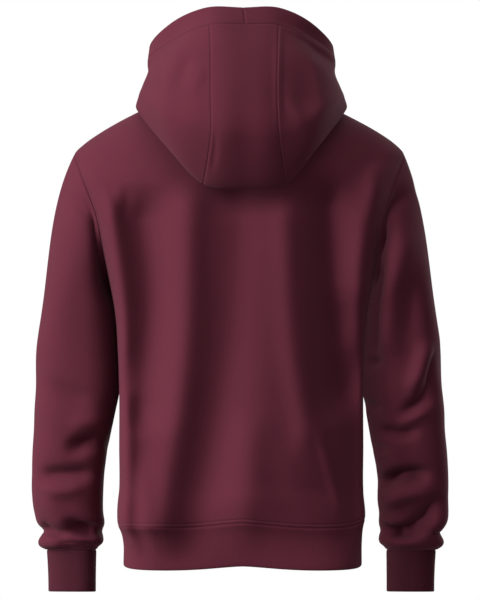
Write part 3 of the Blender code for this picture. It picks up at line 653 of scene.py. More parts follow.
def body_form(side, across, rows):
    """Return the grid of a body piece before its folds, at places from -1 to 1 across."""
    sizes = BODY_SIDES[side]
    edge_angle, edge_drop = side_edge(side, rows)
    landmarks = (0, SHOULDER_ROWS, UNDERARM_ROW, BODY_ROWS)
    centre = (sizes["neck_drop"], CENTRE_AT_SHOULDER, CENTRE_AT_UNDERARM, HEM_CENTRE_DROP)
    centre_drop = np.interp(rows, landmarks, centre)
    power = np.interp(rows, (0, SHOULDER_ROWS), (sizes["neck_power"], ROW_POWER))
    angle = edge_angle[:, None] * across
    bow = np.maximum(np.cos(across * math.pi / 2), 0) ** power[:, None]
    drop = edge_drop[:, None] + (centre_drop - edge_drop)[:, None] * bow
    lowest_rows = ((rows / BODY_ROWS) ** WAVE_POWER)[:, None]
    drop = drop + HEM_WAVE * hem_wave(angle) * lowest_rows
    x, y = section(BODY, "drop", drop, side, angle)
    return np.stack([x, y, -drop], axis=-1)


def fold_lift(folds, x, drop):
    """Return how far the long folds lift the cloth at X and drop."""
    lift = np.zeros_like(x)
    for top_x, top, middle_x, middle, end_x, end, rise, spread in zip(*folds.values()):
        centre = smooth((top, middle, end), (top_x, middle_x, end_x), drop)
        length = ease((drop - top) / FOLD_FADE + 1) * ease((end - drop) / FOLD_FADE + 1)
        lift += rise * length * np.exp(-(((x - centre) / spread) ** 2))
    return lift


def places_across(cell):
    """Return a body piece's places across, from -1 to 1."""
    return 2 * lines(BODY_WIDTH, cell, True, True) - 1


@functools.lru_cache(maxsize=None)
def body_piece(side, cell):
    """Return the grid of a body piece with its folds and creases, and its rows."""
    across = places_across(cell)
    shoulder = lines(SHOULDER_LENGTH, cell, True, False) * SHOULDER_ROWS
    armhole = lines(ARMHOLE_LENGTH, cell, False, False) * ARMHOLE_ROWS + SHOULDER_ROWS
    below = lines(SIDE_LENGTH, cell, False, True) * SIDE_ROWS + UNDERARM_ROW
    rows = np.concatenate([shoulder, armhole[1:], below[1:]])
    points = body_form(side, across, rows)
    out = facing(points, BODY_SIDES[side]["sign"])
    out[..., 0] = 0     # folds don't make the body wider
    x, drop = points[..., 0], -points[..., 2]
    window = (1 - np.abs(across) ** SIDE_FADE) * np.clip(rows / FLAT_ROWS, 0, 1)[:, None]
    lift = fold_lift(FOLDS[side], x, drop) + crease_lift(CREASES[side], x, drop)
    return points + out * (lift * window)[..., None], rows


def seam_puff(points, sewn):
    """Return how the cloth swells away from its sewn edges."""
    puff = np.full(points.shape[:2], PUFF)
    for edge in sewn:
        puff *= 1 - np.exp(-((edge_distance(points, edge) / PUFF_WIDTH) ** 2))
    return puff


def edge_distance(points, edge):
    """Return each point's distance from the top, bottom, first or last edge of a grid."""
    axis = 0 if edge in ("top", "bottom") else 1
    distance = run(points, axis)
    if edge in ("bottom", "last"):
        distance = np.take(distance, [-1], axis=axis) - distance
    return distance


def needle_groove(points, edge, inset):
    """Return how a row of stitches draws the cloth in, at a distance from an edge."""
    distance = edge_distance(points, edge)
    return -NEEDLE_DEPTH * np.exp(-(((distance - inset) / NEEDLE_WIDTH) ** 2))


def stitch_row(points, out, edge, inset, keep=slice(None)):
    """Return the line that a row of stitches follows, and the way out of the cloth along it."""
    distance = edge_distance(points, edge)
    if edge in ("top", "bottom"):
        points, out, distance = (np.swapaxes(grid, 0, 1) for grid in (points, out, distance))
    if edge in ("bottom", "last"):
        points, out, distance = (grid[:, ::-1] for grid in (points, out, distance))
    line = []
    for row, away, ways in list(zip(points, distance, out))[keep]:
        place = [np.interp(inset, away, row[:, axis]) for axis in range(3)]
        way = [np.interp(inset, away, ways[:, axis]) for axis in range(3)]
        line.append((place, way))
    places, ways = np.swapaxes(np.array(line), 0, 1)
    return places, unit(ways)


# Making the meshes

def new_piece(name, points, faces, materials, kinds=(), corners=()):
    """Make a smooth mesh that faces outwards; kinds pick its materials, corners its place."""
    data = bpy.data.meshes.new(name)
    data.from_pydata(points.tolist(), [], faces)
    data.polygons.foreach_set("use_smooth", np.ones(len(data.polygons), dtype=bool))
    if len(kinds):
        data.polygons.foreach_set("material_index", kinds)
    if len(corners):
        data.uv_layers.new(name="cloth").data.foreach_set("uv", corners.ravel())
    for material in materials:
        data.materials.append(material)
    data.update()
    if volume_of(data) < 0:
        data.flip_normals()
    piece = bpy.data.objects.new(name, data)
    collection().objects.link(piece)
    return piece


def shell(node, outer, out, thickness, materials, tube=False, rim=False):
    """Make the closed shell that stands for a node; a rimmed lower edge is rounded."""
    inner = outer - out * thickness
    middle = []
    if rim:
        centre = (outer[-1] + inner[-1]) / 2
        beyond = unit(outer[-1] - outer[-2])
        for turn in RIM_TURNS:
            swing = math.pi * turn
            way = out[-1] * math.cos(swing) + beyond * math.sin(swing)
            middle.append(centre + way * thickness / 2)
    grid = np.concatenate([outer, *(line[None] for line in middle), inner[::-1]])
    rows, columns = grid.shape[:2]
    index = np.arange(rows * columns).reshape(rows, columns)
    if tube:
        index[:, -1] = index[:, 0]
    quads = [(index[:-1, :-1], index[1:, :-1], index[1:, 1:], index[:-1, 1:])]
    quads.append((index[-1:, :-1], index[:1, :-1], index[:1, 1:], index[-1:, 1:]))
    if not tube:
        half = outer.shape[0]
        for column, flip in ((0, 1), (-1, -1)):
            line = index[:, column]
            quads.append(rim_quads(line[:half], line[::-1][:half], flip))
    faces = np.concatenate([np.stack(four, axis=-1).reshape(-1, 4) for four in quads])
    kinds = np.zeros(len(faces), dtype=np.int32)
    across = columns - 1
    kinds[(outer.shape[0] + len(middle)) * across:(rows - 1) * across] = 1
    used, faces = np.unique(faces, return_inverse=True)
    faces = faces.reshape(-1, 4)
    corners = cloth_place(grid).reshape(-1, 2)[used][faces]
    points = grid.reshape(-1, 3)[used]
    return new_piece(f"{node}_cloth", points, faces.tolist(), materials, kinds, corners)


def rim_quads(outer, inner, flip):
    """Return the faces between the outer and the inner line of a side edge."""
    four = (outer[:-1], inner[:-1], inner[1:], outer[1:])
    return four[::flip]


def cloth_place(grid):
    """Return each point's place on the flat cloth in metres, across and down."""
    across = run(grid, 1)
    middle = across[:, [across.shape[1] // 2]]
    return np.stack([across - middle, run(grid, 0)], axis=-1)


def volume_of(data):
    """Return a closed mesh's volume, negative when its faces look inward."""
    count = len(data.polygons)
    centres = np.empty(count * 3)
    normals = np.empty(count * 3)
    areas = np.empty(count)
    data.polygons.foreach_get("center", centres)
    data.polygons.foreach_get("normal", normals)
    data.polygons.foreach_get("area", areas)
    return float((centres.reshape(-1, 3) * normals.reshape(-1, 3)).sum(axis=1) @ areas) / 3


def collection():
    """Return the garment's collection, made when it is missing."""
    found = bpy.data.collections.get(COLLECTION)
    if found is None:
        found = bpy.data.collections.new(COLLECTION)
        bpy.context.scene.collection.children.link(found)
    return found


def declare(piece, node, grid):
    """Hang a piece of cloth on the frame's root and hide the part it replaces; its flat size and
    area are worked out but not passed on.
    """
    width = float(run(grid, 1)[:, -1].max())
    length = float(run(grid, 0)[-1].max())
    around, down = np.diff(grid, axis=1)[:-1], np.diff(grid, axis=0)[:, :-1]
    area = float(np.linalg.norm(np.cross(around, down), axis=-1).sum())
    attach(piece, "root")
    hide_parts(node)
    flat = (round(width, 3), round(length, 3))
    area = min(round(area, 4), flat[0] * flat[1])


def read_along(distance, grid, places):
    """Return the points of a line at places along it."""
    return np.stack([np.interp(places, distance, column) for column in grid.T], axis=-1)


def sew(name, rows, sizes, material):
    """Make rows of raised stitches as one mesh; each dips into the cloth at both its ends."""
    centres, tangents, ways = [], [], []
    for places, out in rows:
        distance = run(places[None], 1)[0]
        count = int(distance[-1] / sizes.stitch)
        middles = (np.arange(count) + 0.5) * distance[-1] / count
        ahead = read_along(distance, places, middles + sizes.stitch / 2)
        behind = read_along(distance, places, middles - sizes.stitch / 2)
        centres.append(read_along(distance, places, middles))
        ways.append(unit(read_along(distance, out, middles)))
        tangents.append(unit(ahead - behind))
    centre, tangent, way = (
        np.concatenate(parts)[:, None, None] for parts in (centres, tangents, ways))
    side = unit(np.cross(tangent, way))
    radius = sizes.thread / 2
    along, girth, height = (column[None, :, None, None] for column in STITCH.values())
    turns = (2 * math.pi * np.arange(STITCH_SIDES) / STITCH_SIDES)[None, None, :, None]
    rings = centre + tangent * (along * sizes.stitch * STITCH_REACH) + way * (height * radius)
    spin = way * np.sin(turns) + side * np.cos(turns)
    points = rings + spin * (girth * radius)
    index = np.arange(points[..., 0].size).reshape(points.shape[:3])
    turned = np.roll(index, -1, axis=2)
    walls = np.stack([index[:, :-1], index[:, 1:], turned[:, 1:], turned[:, :-1]], axis=-1)
    caps = np.concatenate([index[:, 0], index[:, -1, ::-1]])
    faces = walls.reshape(-1, 4).tolist() + caps.tolist()
    piece = new_piece(name, points.reshape(-1, 3), faces, [material])
    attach(piece, "root")
    return piece


# Materials

def new_material(name):
    """Return a new material, its node tree and its shader."""
    material = bpy.data.materials.new(name)
    material.use_nodes = True
    tree = material.node_tree
    return material, tree, tree.nodes["Principled BSDF"]


def set_inputs(tree, node, inputs):
    """Set a node's inputs; each is given a value, or a socket to link it to."""
    for name, value in inputs.items():
        if isinstance(value, bpy.types.NodeSocket):
            tree.links.new(value, node.inputs[name])
        else:
            node.inputs[name].default_value = value


def add(tree, kind, settings=(), inputs=()):
    """Add a node with the given settings and inputs."""
    made = tree.nodes.new(kind)
    for name, value in dict(settings).items():
        setattr(made, name, value)
    set_inputs(tree, made, dict(inputs))
    return made


def maths(tree, operation, first, second=0.0, third=0.0):
    """Return the result of a sum on sockets or numbers."""
    inputs = {0: first, 1: second, 2: third}
    return add(tree, "ShaderNodeMath", {"operation": operation}, inputs).outputs[0]


def noise(tree, coordinates, scale, detail=2.0, roughness=0.5):
    """Return a noise from 0 to 1 at a scale in cells a metre."""
    inputs = {"Vector": coordinates, "Scale": scale, "Detail": detail, "Roughness": roughness}
    return add(tree, "ShaderNodeTexNoise", (), inputs).outputs["Fac"]


def spread(tree, value, ends):
    """Return a value from 0 to 1 moved to run between two ends."""
    inputs = {"Value": value, "To Min": ends[0], "To Max": ends[1]}
    return add(tree, "ShaderNodeMapRange", (), inputs).outputs["Result"]


def knit(tree, across, down, wale, course):
    """Return the height of plain knit loops, V by V, from places on the cloth in metres."""
    column = maths(tree, "DIVIDE", across, wale)
    fraction = maths(tree, "FRACT", column)
    from_middle = maths(tree, "ABSOLUTE", maths(tree, "SUBTRACT", fraction, 0.5))
    slanted = maths(tree, "ADD", maths(tree, "DIVIDE", down, course), from_middle)
    leg = maths(tree, "SINE", maths(tree, "MULTIPLY", fraction, 2 * math.pi))
    loop = maths(tree, "SINE", maths(tree, "MULTIPLY", slanted, 2 * math.pi))
    rise = maths(tree, "MULTIPLY", loop, LOOP_RISE)
    return maths(tree, "ADD", maths(tree, "ABSOLUTE", leg), rise)


def tinted(tree, colour, amount):
    """Return a colour made lighter or darker by an amount near 1."""
    inputs = {0: colour, "Scale": amount}
    return add(tree, "ShaderNodeVectorMath", {"operation": "SCALE"}, inputs).outputs[0]


def painted_contact_shade(tree):
    """Return a painted shade below 1, darker where other cloth lies close: creases, gaps,
    overhangs.
    """
    settings, inputs = {"samples": PAINTED_SHADE_SAMPLES}, {"Distance": PAINTED_SHADE_REACH}
    near = add(tree, "ShaderNodeAmbientOcclusion", settings, inputs)
    return spread(tree, near.outputs["AO"], PAINTED_SHADE_LEVELS)


def cloth_material(name, colour, wale, course, loops, fuzz, sheen, ribs=0.0):
    """Return knitted cloth: loops and fuzz as bump, slightly uneven colour, a soft sheen and
    painted shade in hollows.
    """
    material, tree, shader = new_material(name)
    place = add(tree, "ShaderNodeUVMap", {"uv_map": "cloth"}).outputs["UV"]
    where = add(tree, "ShaderNodeSeparateXYZ", (), {"Vector": place})
    across, down = where.outputs["X"], where.outputs["Y"]
    body = add(tree, "ShaderNodeTexCoord").outputs["Object"]
    patches = noise(tree, body, **PATCHES)
    flecks = noise(tree, body, **FLECKS)
    height = maths(tree, "MULTIPLY", knit(tree, across, down, wale, course), loops)
    height = maths(tree, "ADD", height, maths(tree, "MULTIPLY", flecks, fuzz))
    fleck_shade = spread(tree, flecks, FLECK_SHADES)
    amount = maths(tree, "MULTIPLY", spread(tree, patches, PATCH_SHADES), fleck_shade)
    # painted shade: the colour darkens in the grooves between the ribs
    if ribs:
        turn = maths(tree, "MULTIPLY", across, 2 * math.pi / ribs)
        crest = maths(tree, "COSINE", turn)
        amount = maths(tree, "MULTIPLY", amount, spread(tree, crest, PAINTED_RIB_GROOVE_SHADES))
    # painted shade: the colour darkens where other cloth is near
    amount = maths(tree, "MULTIPLY", amount, painted_contact_shade(tree))
    bump = add(tree, "ShaderNodeBump", (), {**CLOTH_BUMP, "Height": height})
    set_inputs(tree, shader, {
        "Base Color": tinted(tree, colour, amount),
        "Roughness": spread(tree, patches, CLOTH_ROUGHNESS),
        "Normal": bump.outputs["Normal"],
        "Sheen Weight": sheen,
        **CLOTH_FINISH,
    })
    return material


def thread_material(name, colour):
    """Return spun polyester thread, a little glossier than the cloth."""
    material, tree, shader = new_material(name)
    body = add(tree, "ShaderNodeTexCoord").outputs["Object"]
    bands = {"wave_type": "BANDS", "bands_direction": "DIAGONAL"}
    twist = add(tree, "ShaderNodeTexWave", bands, {"Vector": body, **TWIST}).outputs["Fac"]
    bump = add(tree, "ShaderNodeBump", (), {**THREAD_BUMP, "Height": twist})
    set_inputs(tree, shader, {
        "Base Color": tinted(tree, colour, spread(tree, twist, TWIST_SHADES)),
        "Normal": bump.outputs["Normal"],
        **THREAD_FINISH,
    })
    return material


def fleece_materials(colours):
    """Return the face and the brushed inside of the fleece, made once."""
    found = [bpy.data.materials.get(name) for name in ("maroon_fleece", "brushed_inside")]
    if all(found):
        return found
    return [cloth_material("maroon_fleece", colours.fleece, **FLEECE_KNIT),
            cloth_material("brushed_inside", colours.brushed, **BRUSHED_KNIT)]


def rib_materials(name, colour, sizes):
    """Return the rib knit for both sides of a band, made once."""
    found = bpy.data.materials.get(name)
    if found is None:
        found = cloth_material(name, colour, ribs=sizes.rib_pitch, **RIB_KNIT)
    return [found, found]


# Pieces

class HOODIE_OT_make_body(bpy.types.Operator):
    """Make the back and the front."""

    bl_idname = "hoodie.make_body"
    bl_label = "Make Body"

    def execute(self, context):
        sizes, colours = context.scene.hoodie_cloth, context.scene.hoodie_colours
        for side in ("back", "front"):
            grid, out = body_shape(side, sizes.cell)
            piece = shell(side, grid, out, sizes.fleece, fleece_materials(colours))
            declare(piece, side, grid)
        return {"FINISHED"}


@functools.lru_cache(maxsize=None)
def body_shape(side, cell):
    """Return a body piece's finished grid and its outward directions."""
    grid, rows = body_piece(side, cell)
    out = facing(grid, BODY_SIDES[side]["sign"])
    lift = seam_puff(grid, ("top", "bottom", "first", "last"))
    lift += needle_groove(grid, "bottom", HEM_NEEDLE)
    past_shoulder = ease((rows - SHOULDER_ROWS) / NEEDLE_END_ROWS)
    before_underarm = ease((UNDERARM_ROW - rows) / NEEDLE_END_ROWS)
    window = (past_shoulder * before_underarm)[:, None]
    for edge in ("first", "last"):
        for inset in ARMHOLE_NEEDLES:
            lift += needle_groove(grid, edge, inset) * window
    return grid + out * lift[..., None], out


class HOODIE_OT_make_hem_band(bpy.types.Operator):
    """Make the rib band of the hem."""

    bl_idname = "hoodie.make_hem_band"
    bl_label = "Make Hem Band"

    def execute(self, context):
        sizes, colours = context.scene.hoodie_cloth, context.scene.hoodie_colours
        grid, out = hem_band_shape(sizes)
        rib = rib_materials("hem_rib", colours.rib, sizes)
        piece = shell("hem_band", grid, out, sizes.rib, rib, tube=True, rim=True)
        declare(piece, "hem_band", grid)
        return {"FINISHED"}


def along_ribs(seam, values, girth, pitch):
    """Read a seam and the values along it again, LINES_A_RIB to a rib; return the crests too."""
    distance = run(seam[None], 1)[0]
    distance = distance / distance[-1]
    ribs = round(girth / pitch)
    fine = np.linspace(0, 1, ribs * LINES_A_RIB + 1)
    crest = np.cos(2 * math.pi * ribs * fine)
    return read_along(distance, seam, fine), np.interp(fine, distance, values), crest


def raise_ribs(grid, face, crest, sizes):
    """Return a band's finished grid and its outward directions."""
    out = facing(grid, face, tube=True)
    lift = seam_puff(grid, ("top",)) + sizes.rib_rise / 2 * crest
    return grid + out * lift[..., None], out


def hem_band_shape(sizes):
    """Return the hem band's finished grid and its outward directions."""
    back, _ = body_piece("back", sizes.cell)
    front, _ = body_piece("front", sizes.cell)
    seam = np.concatenate([back[-1], front[-1][-2::-1]])
    quarter = places_across(sizes.cell) * math.pi / 2
    angle = np.concatenate([quarter, math.pi - quarter[-2::-1]])
    girth = run(seam[None], 1)[0, -1]
    seam, angle, crest = along_ribs(seam, angle, girth, sizes.rib_pitch)
    part = lines(BAND_LENGTH, BAND_CELL, True, False)[:, None]
    return raise_ribs(hem_band(seam, angle, part), 1, crest, sizes)


def hem_band(seam, angle, part):
    """Return the grid of the hem band, from its seam down, once round the body."""
    side_drop = HEM_SIDE_DROP + (BAND_SIDE_DROP - HEM_SIDE_DROP) * part
    centre_drop = HEM_CENTRE_DROP + (BAND_CENTRE_DROP - HEM_CENTRE_DROP) * part
    wave = HEM_WAVE + (BAND_WAVE - HEM_WAVE) * part
    drop = side_drop + (centre_drop - side_drop) * np.abs(np.cos(angle)) ** ROW_POWER
    drop = drop + wave * hem_wave(angle)
    parts = np.broadcast_to(part, drop.shape)
    back_x, back_y = section(HEM_BAND, "part", parts, "back", angle)
    front_x, front_y = section(HEM_BAND, "part", parts, "front", math.pi - angle)
    on_back = np.abs(angle) <= math.pi / 2
    x = np.where(on_back, back_x, front_x)
    y = np.where(on_back, back_y, front_y)
    points = np.stack([x, y, -drop], axis=-1)
    return points + (seam - points[0]) * (1 - part[..., None]) ** BAND_FADE


class HOODIE_OT_make_sleeves(bpy.types.Operator):
    """Make both sleeves and their rib cuffs."""

    bl_idname = "hoodie.make_sleeves"
    bl_label = "Make Sleeves"

    def execute(self, context):
        sizes, colours = context.scene.hoodie_cloth, context.scene.hoodie_colours
        for side in HANDS:
            grid, out = sleeve_shape(side, sizes.cell)
            fleece = fleece_materials(colours)
            piece = shell(f"sleeve_{side}", grid, out, sizes.fleece, fleece, tube=True)
            declare(piece, f"sleeve_{side}", grid)
            grid, out = cuff_shape(side, sizes)
            # the cuffs' rib is darker than the hem's: painted shade
            rib = rib_materials("cuff_rib", colours.cuff, sizes)
            piece = shell(f"cuff_{side}", grid, out, sizes.rib, rib, tube=True, rim=True)
            declare(piece, f"cuff_{side}", grid)
        return {"FINISHED"}


def rounded(turn):
    """Return the way round a sleeve's rounded section, from -1 to 1 across and forward."""
    sine, cosine = np.sin(turn), np.cos(turn)
    size = np.abs(sine) ** SLEEVE_SQUARE + np.abs(cosine) ** SLEEVE_SQUARE
    size = size ** (-1 / SLEEVE_SQUARE)
    return cosine * size, sine * size


@functools.lru_cache(maxsize=None)
def sleeve_form(side, cell):
    """Return the grid of a sleeve, from armhole to cuff, and its places round, from 0 to 1."""
    hand = HANDS[side]
    half = lines(SLEEVE_HALF_GIRTH, cell, False, True) / 2
    place = np.concatenate([half, 1 - half[-2::-1]])
    rows_round = SHOULDER_ROWS + ARMHOLE_ROWS * (1 - np.abs(1 - 2 * place))
    edge = np.array([float(hand)])
    back = body_form("back", edge, rows_round)[:, 0]
    front = body_form("front", edge, rows_round)[:, 0]
    seam = np.where((place <= 0.5)[:, None], back, front)
    turn = 2 * math.pi * place
    length = CUFF_TOP - SLEEVE_TOP
    below = (SLEEVE_TOP + length * lines(length, cell, False, True))[:, None]
    outer = smooth(SLEEVE["drop"], SLEEVE[f"outer_{side}"], below)
    inner = smooth(SLEEVE["drop"], SLEEVE[f"inner_{side}"], below)
    reach = smooth(SLEEVE["drop"], SLEEVE["reach"], below)
    depth = smooth(SLEEVE["drop"], SLEEVE["depth"], below)
    across, forward = rounded(turn)
    x = hand * ((outer + inner) / 2 + (outer - inner) / 2 * across)
    y = reach + depth * forward - SLEEVE_TURN[side] * (outer - inner) / 2 * across
    hanging = np.stack([x, y, np.broadcast_to(-below, x.shape)], axis=-1)
    chord = np.linalg.norm(hanging[0] - seam, axis=-1, keepdims=True)
    top = (1 + np.cos(turn)) / 2
    out = hand * (UNDERARM_OUT + (SLEEVE_OUT[side] - UNDERARM_OUT) * top)
    down = np.full(len(turn), -SLEEVE_DOWN)
    leave = unit(np.stack([out, SLEEVE_SPREAD * np.sin(turn), down], axis=-1)) * chord
    later = np.searchsorted(below[:, 0], SLEEVE_AIM_DROP)
    arrive = unit(hanging[later] - hanging[0]) * chord
    part = lines(SLEEVE_HEAD_LENGTH, cell, True, False)[:-1, None, None]
    head = hermite(seam, leave, hanging[0], arrive, part)
    return np.concatenate([head, hanging]), place


@functools.lru_cache(maxsize=None)
def sleeve_shape(side, cell):
    """Return a sleeve's finished grid and its outward directions."""
    grid, place = sleeve_form(side, cell)
    out = facing(grid, -HANDS[side], tube=True)
    x, drop = grid[..., 0], -grid[..., 2]
    depth = np.sin(2 * math.pi * place)
    lift = np.zeros_like(x)
    for half, sign in (("back", 1), ("front", -1)):
        window = ease((sign * depth + CREASE_WRAP) / (2 * CREASE_WRAP))
        lift += crease_lift(SLEEVE_CREASES[side, half], x, drop) * window
    lift *= ease(edge_distance(grid, "top") / CREASE_CLEAR)
    lift *= ease(edge_distance(grid, "bottom") / CUFF_CLEAR)
    lift += seam_puff(grid, ("top", "bottom"))
    return grid + out * lift[..., None], out


def cuff_shape(side, sizes):
    """Return a cuff's finished grid and its outward directions."""
    hand = HANDS[side]
    sleeve, place = sleeve_form(side, sizes.cell)
    seam, place, crest = along_ribs(sleeve[-1], place, CUFF_GIRTH, sizes.rib_pitch)
    part = lines(CUFF_LENGTH, BAND_CELL, True, False)[:, None]
    across, forward = rounded(2 * math.pi * place)
    middle, half = (CUFF_OUTER + CUFF_INNER) / 2, (CUFF_OUTER - CUFF_INNER) / 2
    x = hand * (middle + half * across)
    y = CUFF_REACH - CUFF_FORWARD * part + CUFF_DEPTH * forward - SLEEVE_TURN[side] * half * across
    z = -CUFF_TOP + (CUFF_TOP - CUFF_END) * part
    points = np.stack([np.broadcast_to(x, y.shape), y, np.broadcast_to(z, y.shape)], axis=-1)
    grid = points + (seam - points[0]) * (1 - part[..., None]) ** CUFF_FADE
    return raise_ribs(grid, -hand, crest, sizes)


def neck_line(places):
    """Return the points of the neck seam at places round the hood."""
    on_back = np.abs(places) <= BACK_PLACES
    back = body_form("back", places / BACK_PLACES, np.array([0.0]))[0]
    across = np.sign(places) * (HOOD_HALF - np.abs(places)) / FRONT_PLACES
    front = body_form("front", across, np.array([0.0]))[0]
    return np.where(on_back[:, None], back, front)


def hood_form(places, rows):
    """Return hood points for rows up its side, at each place round it, right front to left."""
    knots = np.concatenate([-np.array(HOOD_PLACES[:0:-1]), HOOD_PLACES])
    mirror = np.array((-1, 1, 1))
    levels = [neck_line(places)]
    for half in map(np.array, HOOD.values()):
        levels.append(smooth(knots, np.concatenate([half[:0:-1] * mirror, half]), places))
    heights = HOOD_ROWS["row"]
    flat = np.array(levels).reshape(len(levels), -1)
    points = smooth(heights, flat, rows).reshape(len(rows), len(places), 3)
    lean = smooth(heights, HOOD_ROWS["lean"], rows)[:, None]
    turn = smooth(heights, HOOD_ROWS["turn"], rows)[:, None]
    near = np.exp(-((points[..., 0] / HOOD_LEAN_WIDTH) ** 2)) * (points[..., 1] > 0)
    points[..., 1] += turn * points[..., 0] * near
    points[..., 0] += lean * near
    return points


@functools.lru_cache(maxsize=None)
def hood_shape(name):
    """Return a hood piece's finished grid and its outward directions."""
    first, last, start, sewn = HOOD_PIECES[name]
    width = (last - first) * HOOD_PLACE_WIDTH
    places = lines(width, HOOD_CELL, "first" in sewn, "last" in sewn)
    places = first + (last - first) * places
    if start == "neck":
        rows = BAND_SEAM_ROW * lines(HOOD_LENGTH, HOOD_CELL, True, True)
    else:
        rows = lines(HOOD_BAND_LENGTH, HOOD_CELL, True, False)
        rows = BAND_SEAM_ROW + (HOOD_EDGE_ROW - BAND_SEAM_ROW) * rows
    grid = hood_form(places, rows)
    out = facing(grid, -1)
    lift = crease_lift(HOOD_CREASES, grid[..., 0], -grid[..., 2])
    lift *= ease(rows[:, None] - HOOD_FOLD_ROW)
    for edge in sewn:
        lift *= ease(edge_distance(grid, edge) / CREASE_CLEAR)
    level = out * (0, 1, 1)     # creases don't make the hood wider
    puff = HOOD_PUFF * seam_puff(grid, sewn)
    return grid + level * lift[..., None] + out * puff[..., None], out


class HOODIE_OT_make_hood(bpy.types.Operator):
    """Make the hood's sides, its centre strip and its edge band."""

    bl_idname = "hoodie.make_hood"
    bl_label = "Make Hood"

    def execute(self, context):
        sizes, colours = context.scene.hoodie_cloth, context.scene.hoodie_colours
        for name, (_, _, start, _) in HOOD_PIECES.items():
            grid, out = hood_shape(name)
            band = start == "band"
            thickness = sizes.hood_band if band else sizes.fleece
            piece = shell(name, grid, out, thickness, fleece_materials(colours), rim=band)
            declare(piece, name, grid)
        return {"FINISHED"}


class HOODIE_OT_sew_seams(bpy.types.Operator):
    """Sew the rows of stitches."""

    bl_idname = "hoodie.sew_seams"
    bl_label = "Sew Seams"

    def execute(self, context):
        sizes, colours = context.scene.hoodie_cloth, context.scene.hoodie_colours
        cell = sizes.cell
        thread = thread_material("maroon_thread", colours.thread)
        rows = {
            "armhole_stitches": armhole_rows(cell),
            "hem_stitches": [
                stitch_row(*body_shape(side, cell), "bottom", HEM_NEEDLE) for side in BODY_SIDES],
            "hood_stitches": [
                stitch_row(*hood_shape(name), edge, HOOD_NEEDLE) for name, edge in HOOD_STITCHES],
            "cuff_stitches": [
                stitch_row(*sleeve_shape(side, cell), "bottom", CUFF_NEEDLE) for side in HANDS],
        }
        for name, found in rows.items():
            sew(name, found, sizes, thread)
        return {"FINISHED"}


def armhole_rows(cell):
    """Return the rows of stitches beside the armholes."""
    rows = []
    for side in BODY_SIDES:
        grid, out = body_shape(side, cell)
        _, levels = body_piece(side, cell)
        beside = np.flatnonzero((levels >= SHOULDER_ROWS) & (levels <= UNDERARM_ROW))
        keep = slice(beside[0], beside[-1] + 1)
        for edge in ("first", "last"):
            rows += [stitch_row(grid, out, edge, inset, keep) for inset in ARMHOLE_NEEDLES]
    return rows


# Studio

class HOODIE_OT_set_stage(bpy.types.Operator):
    """Set the camera, the lights and a plain pale floor."""

    bl_idname = "hoodie.set_stage"
    bl_label = "Set Stage"

    def execute(self, context):
        studio = context.scene.hoodie_studio
        low, high = (Vector(corner) for corner in CAD_BOX)
        middle = (low + high) / 2
        add_camera(studio, middle)
        add_floor(studio, middle, low.z)
        for name, towards, degrees, shadows in SUNS:
            add_sun(f"{name}_light", getattr(studio, name), towards, degrees, shadows)
        light_around(studio.around)
        context.scene.view_settings.view_transform = "Standard"
        return {"FINISHED"}


def add_camera(studio, middle):
    """Add the camera, level behind the garment's back."""
    data = bpy.data.cameras.new("studio_camera")
    data.lens = data.sensor_width * studio.view_distance / studio.view_height
    data.clip_end = CAMERA_RANGE
    camera = bpy.data.objects.new("studio_camera", data)
    bpy.context.scene.collection.objects.link(camera)
    camera.location = (middle.x, studio.view_distance, middle.z)
    camera.rotation_euler = (math.pi / 2, 0, math.pi)
    bpy.context.scene.camera = camera


def add_floor(studio, middle, lowest):
    """Add a round pale floor below the garment."""
    data = bpy.data.meshes.new("floor")
    turns = np.linspace(0, 2 * math.pi, FLOOR_SIDES, endpoint=False)
    rim = [(FLOOR_RADIUS * math.cos(turn), FLOOR_RADIUS * math.sin(turn), 0) for turn in turns]
    data.from_pydata(rim, [], [list(range(len(rim)))])
    material, tree, shader = new_material("pale_floor")
    set_inputs(tree, shader, FLOOR_FINISH)
    data.materials.append(material)
    floor = bpy.data.objects.new("floor", data)
    floor.location = (middle.x, middle.y, lowest - studio.floor_drop)
    bpy.context.scene.collection.objects.link(floor)
    floor.visible_diffuse = False


def add_sun(name, strength, towards, degrees, shadows):
    """Add a soft light that shines from the given direction."""
    data = bpy.data.lights.new(name, "SUN")
    data.energy = strength
    data.angle = math.radians(degrees)
    data.use_shadow = shadows
    sun = bpy.data.objects.new(name, data)
    sun.rotation_euler = Vector(towards).to_track_quat("Z", "Y").to_euler()
    bpy.context.scene.collection.objects.link(sun)


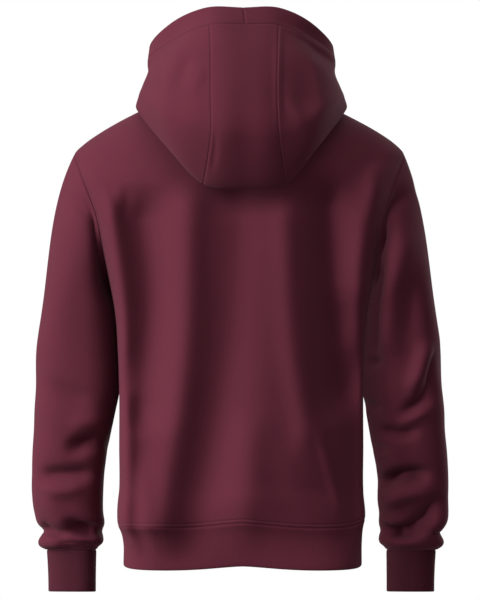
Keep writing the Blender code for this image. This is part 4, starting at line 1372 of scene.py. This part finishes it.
def light_around(strength):
    """Light the scene evenly from all around, with a plain white backdrop."""
    world = bpy.data.worlds.new("studio")
    world.use_nodes = True
    tree = world.node_tree
    seen = add(tree, "ShaderNodeLightPath").outputs["Is Camera Ray"]
    level = maths(tree, "ADD", maths(tree, "MULTIPLY", seen, 1.0 - strength), strength)
    background = tree.nodes["Background"]
    background.inputs["Color"].default_value = (1, 1, 1, 1)
    tree.links.new(level, background.inputs["Strength"])
    bpy.context.scene.world = world


class HOODIE_PT_panel(bpy.types.Panel):
    """List the sizes, the colours and the steps."""

    bl_label = "Hoodie"
    bl_idname = "HOODIE_PT_panel"
    bl_space_type = "VIEW_3D"
    bl_region_type = "UI"
    bl_category = "Hoodie"

    def draw(self, context):
        scene = context.scene
        for group in (scene.hoodie_cloth, scene.hoodie_colours, scene.hoodie_studio):
            box = self.layout.box()
            for name in group.__annotations__:
                box.prop(group, name)
        for step in STEPS:
            self.layout.operator(step.bl_idname)


STEPS = (
    HOODIE_OT_make_body,
    HOODIE_OT_make_hem_band,
    HOODIE_OT_make_sleeves,
    HOODIE_OT_make_hood,
    HOODIE_OT_sew_seams,
    HOODIE_OT_set_stage,
)
GROUPS = {
    "hoodie_cloth": HoodieCloth,
    "hoodie_colours": HoodieColours,
    "hoodie_studio": HoodieStudio,
}


def register():
    """Register the classes and hang their values on the scene."""
    for kind in (*GROUPS.values(), *STEPS, HOODIE_PT_panel):
        bpy.utils.register_class(kind)
    for name, kind in GROUPS.items():
        setattr(bpy.types.Scene, name, bpy.props.PointerProperty(type=kind))


def unregister():
    """Take away what register added."""
    for name in GROUPS:
        delattr(bpy.types.Scene, name)
    for kind in (HOODIE_PT_panel, *reversed(STEPS), *reversed(GROUPS.values())):
        bpy.utils.unregister_class(kind)


def main():
    """Make the garment and the studio."""
    register()
    bpy.ops.hoodie.make_body()
    bpy.ops.hoodie.make_hem_band()
    bpy.ops.hoodie.make_sleeves()
    bpy.ops.hoodie.make_hood()
    bpy.ops.hoodie.sew_seams()
    bpy.ops.hoodie.set_stage()


if __name__ == "__main__":
    main()
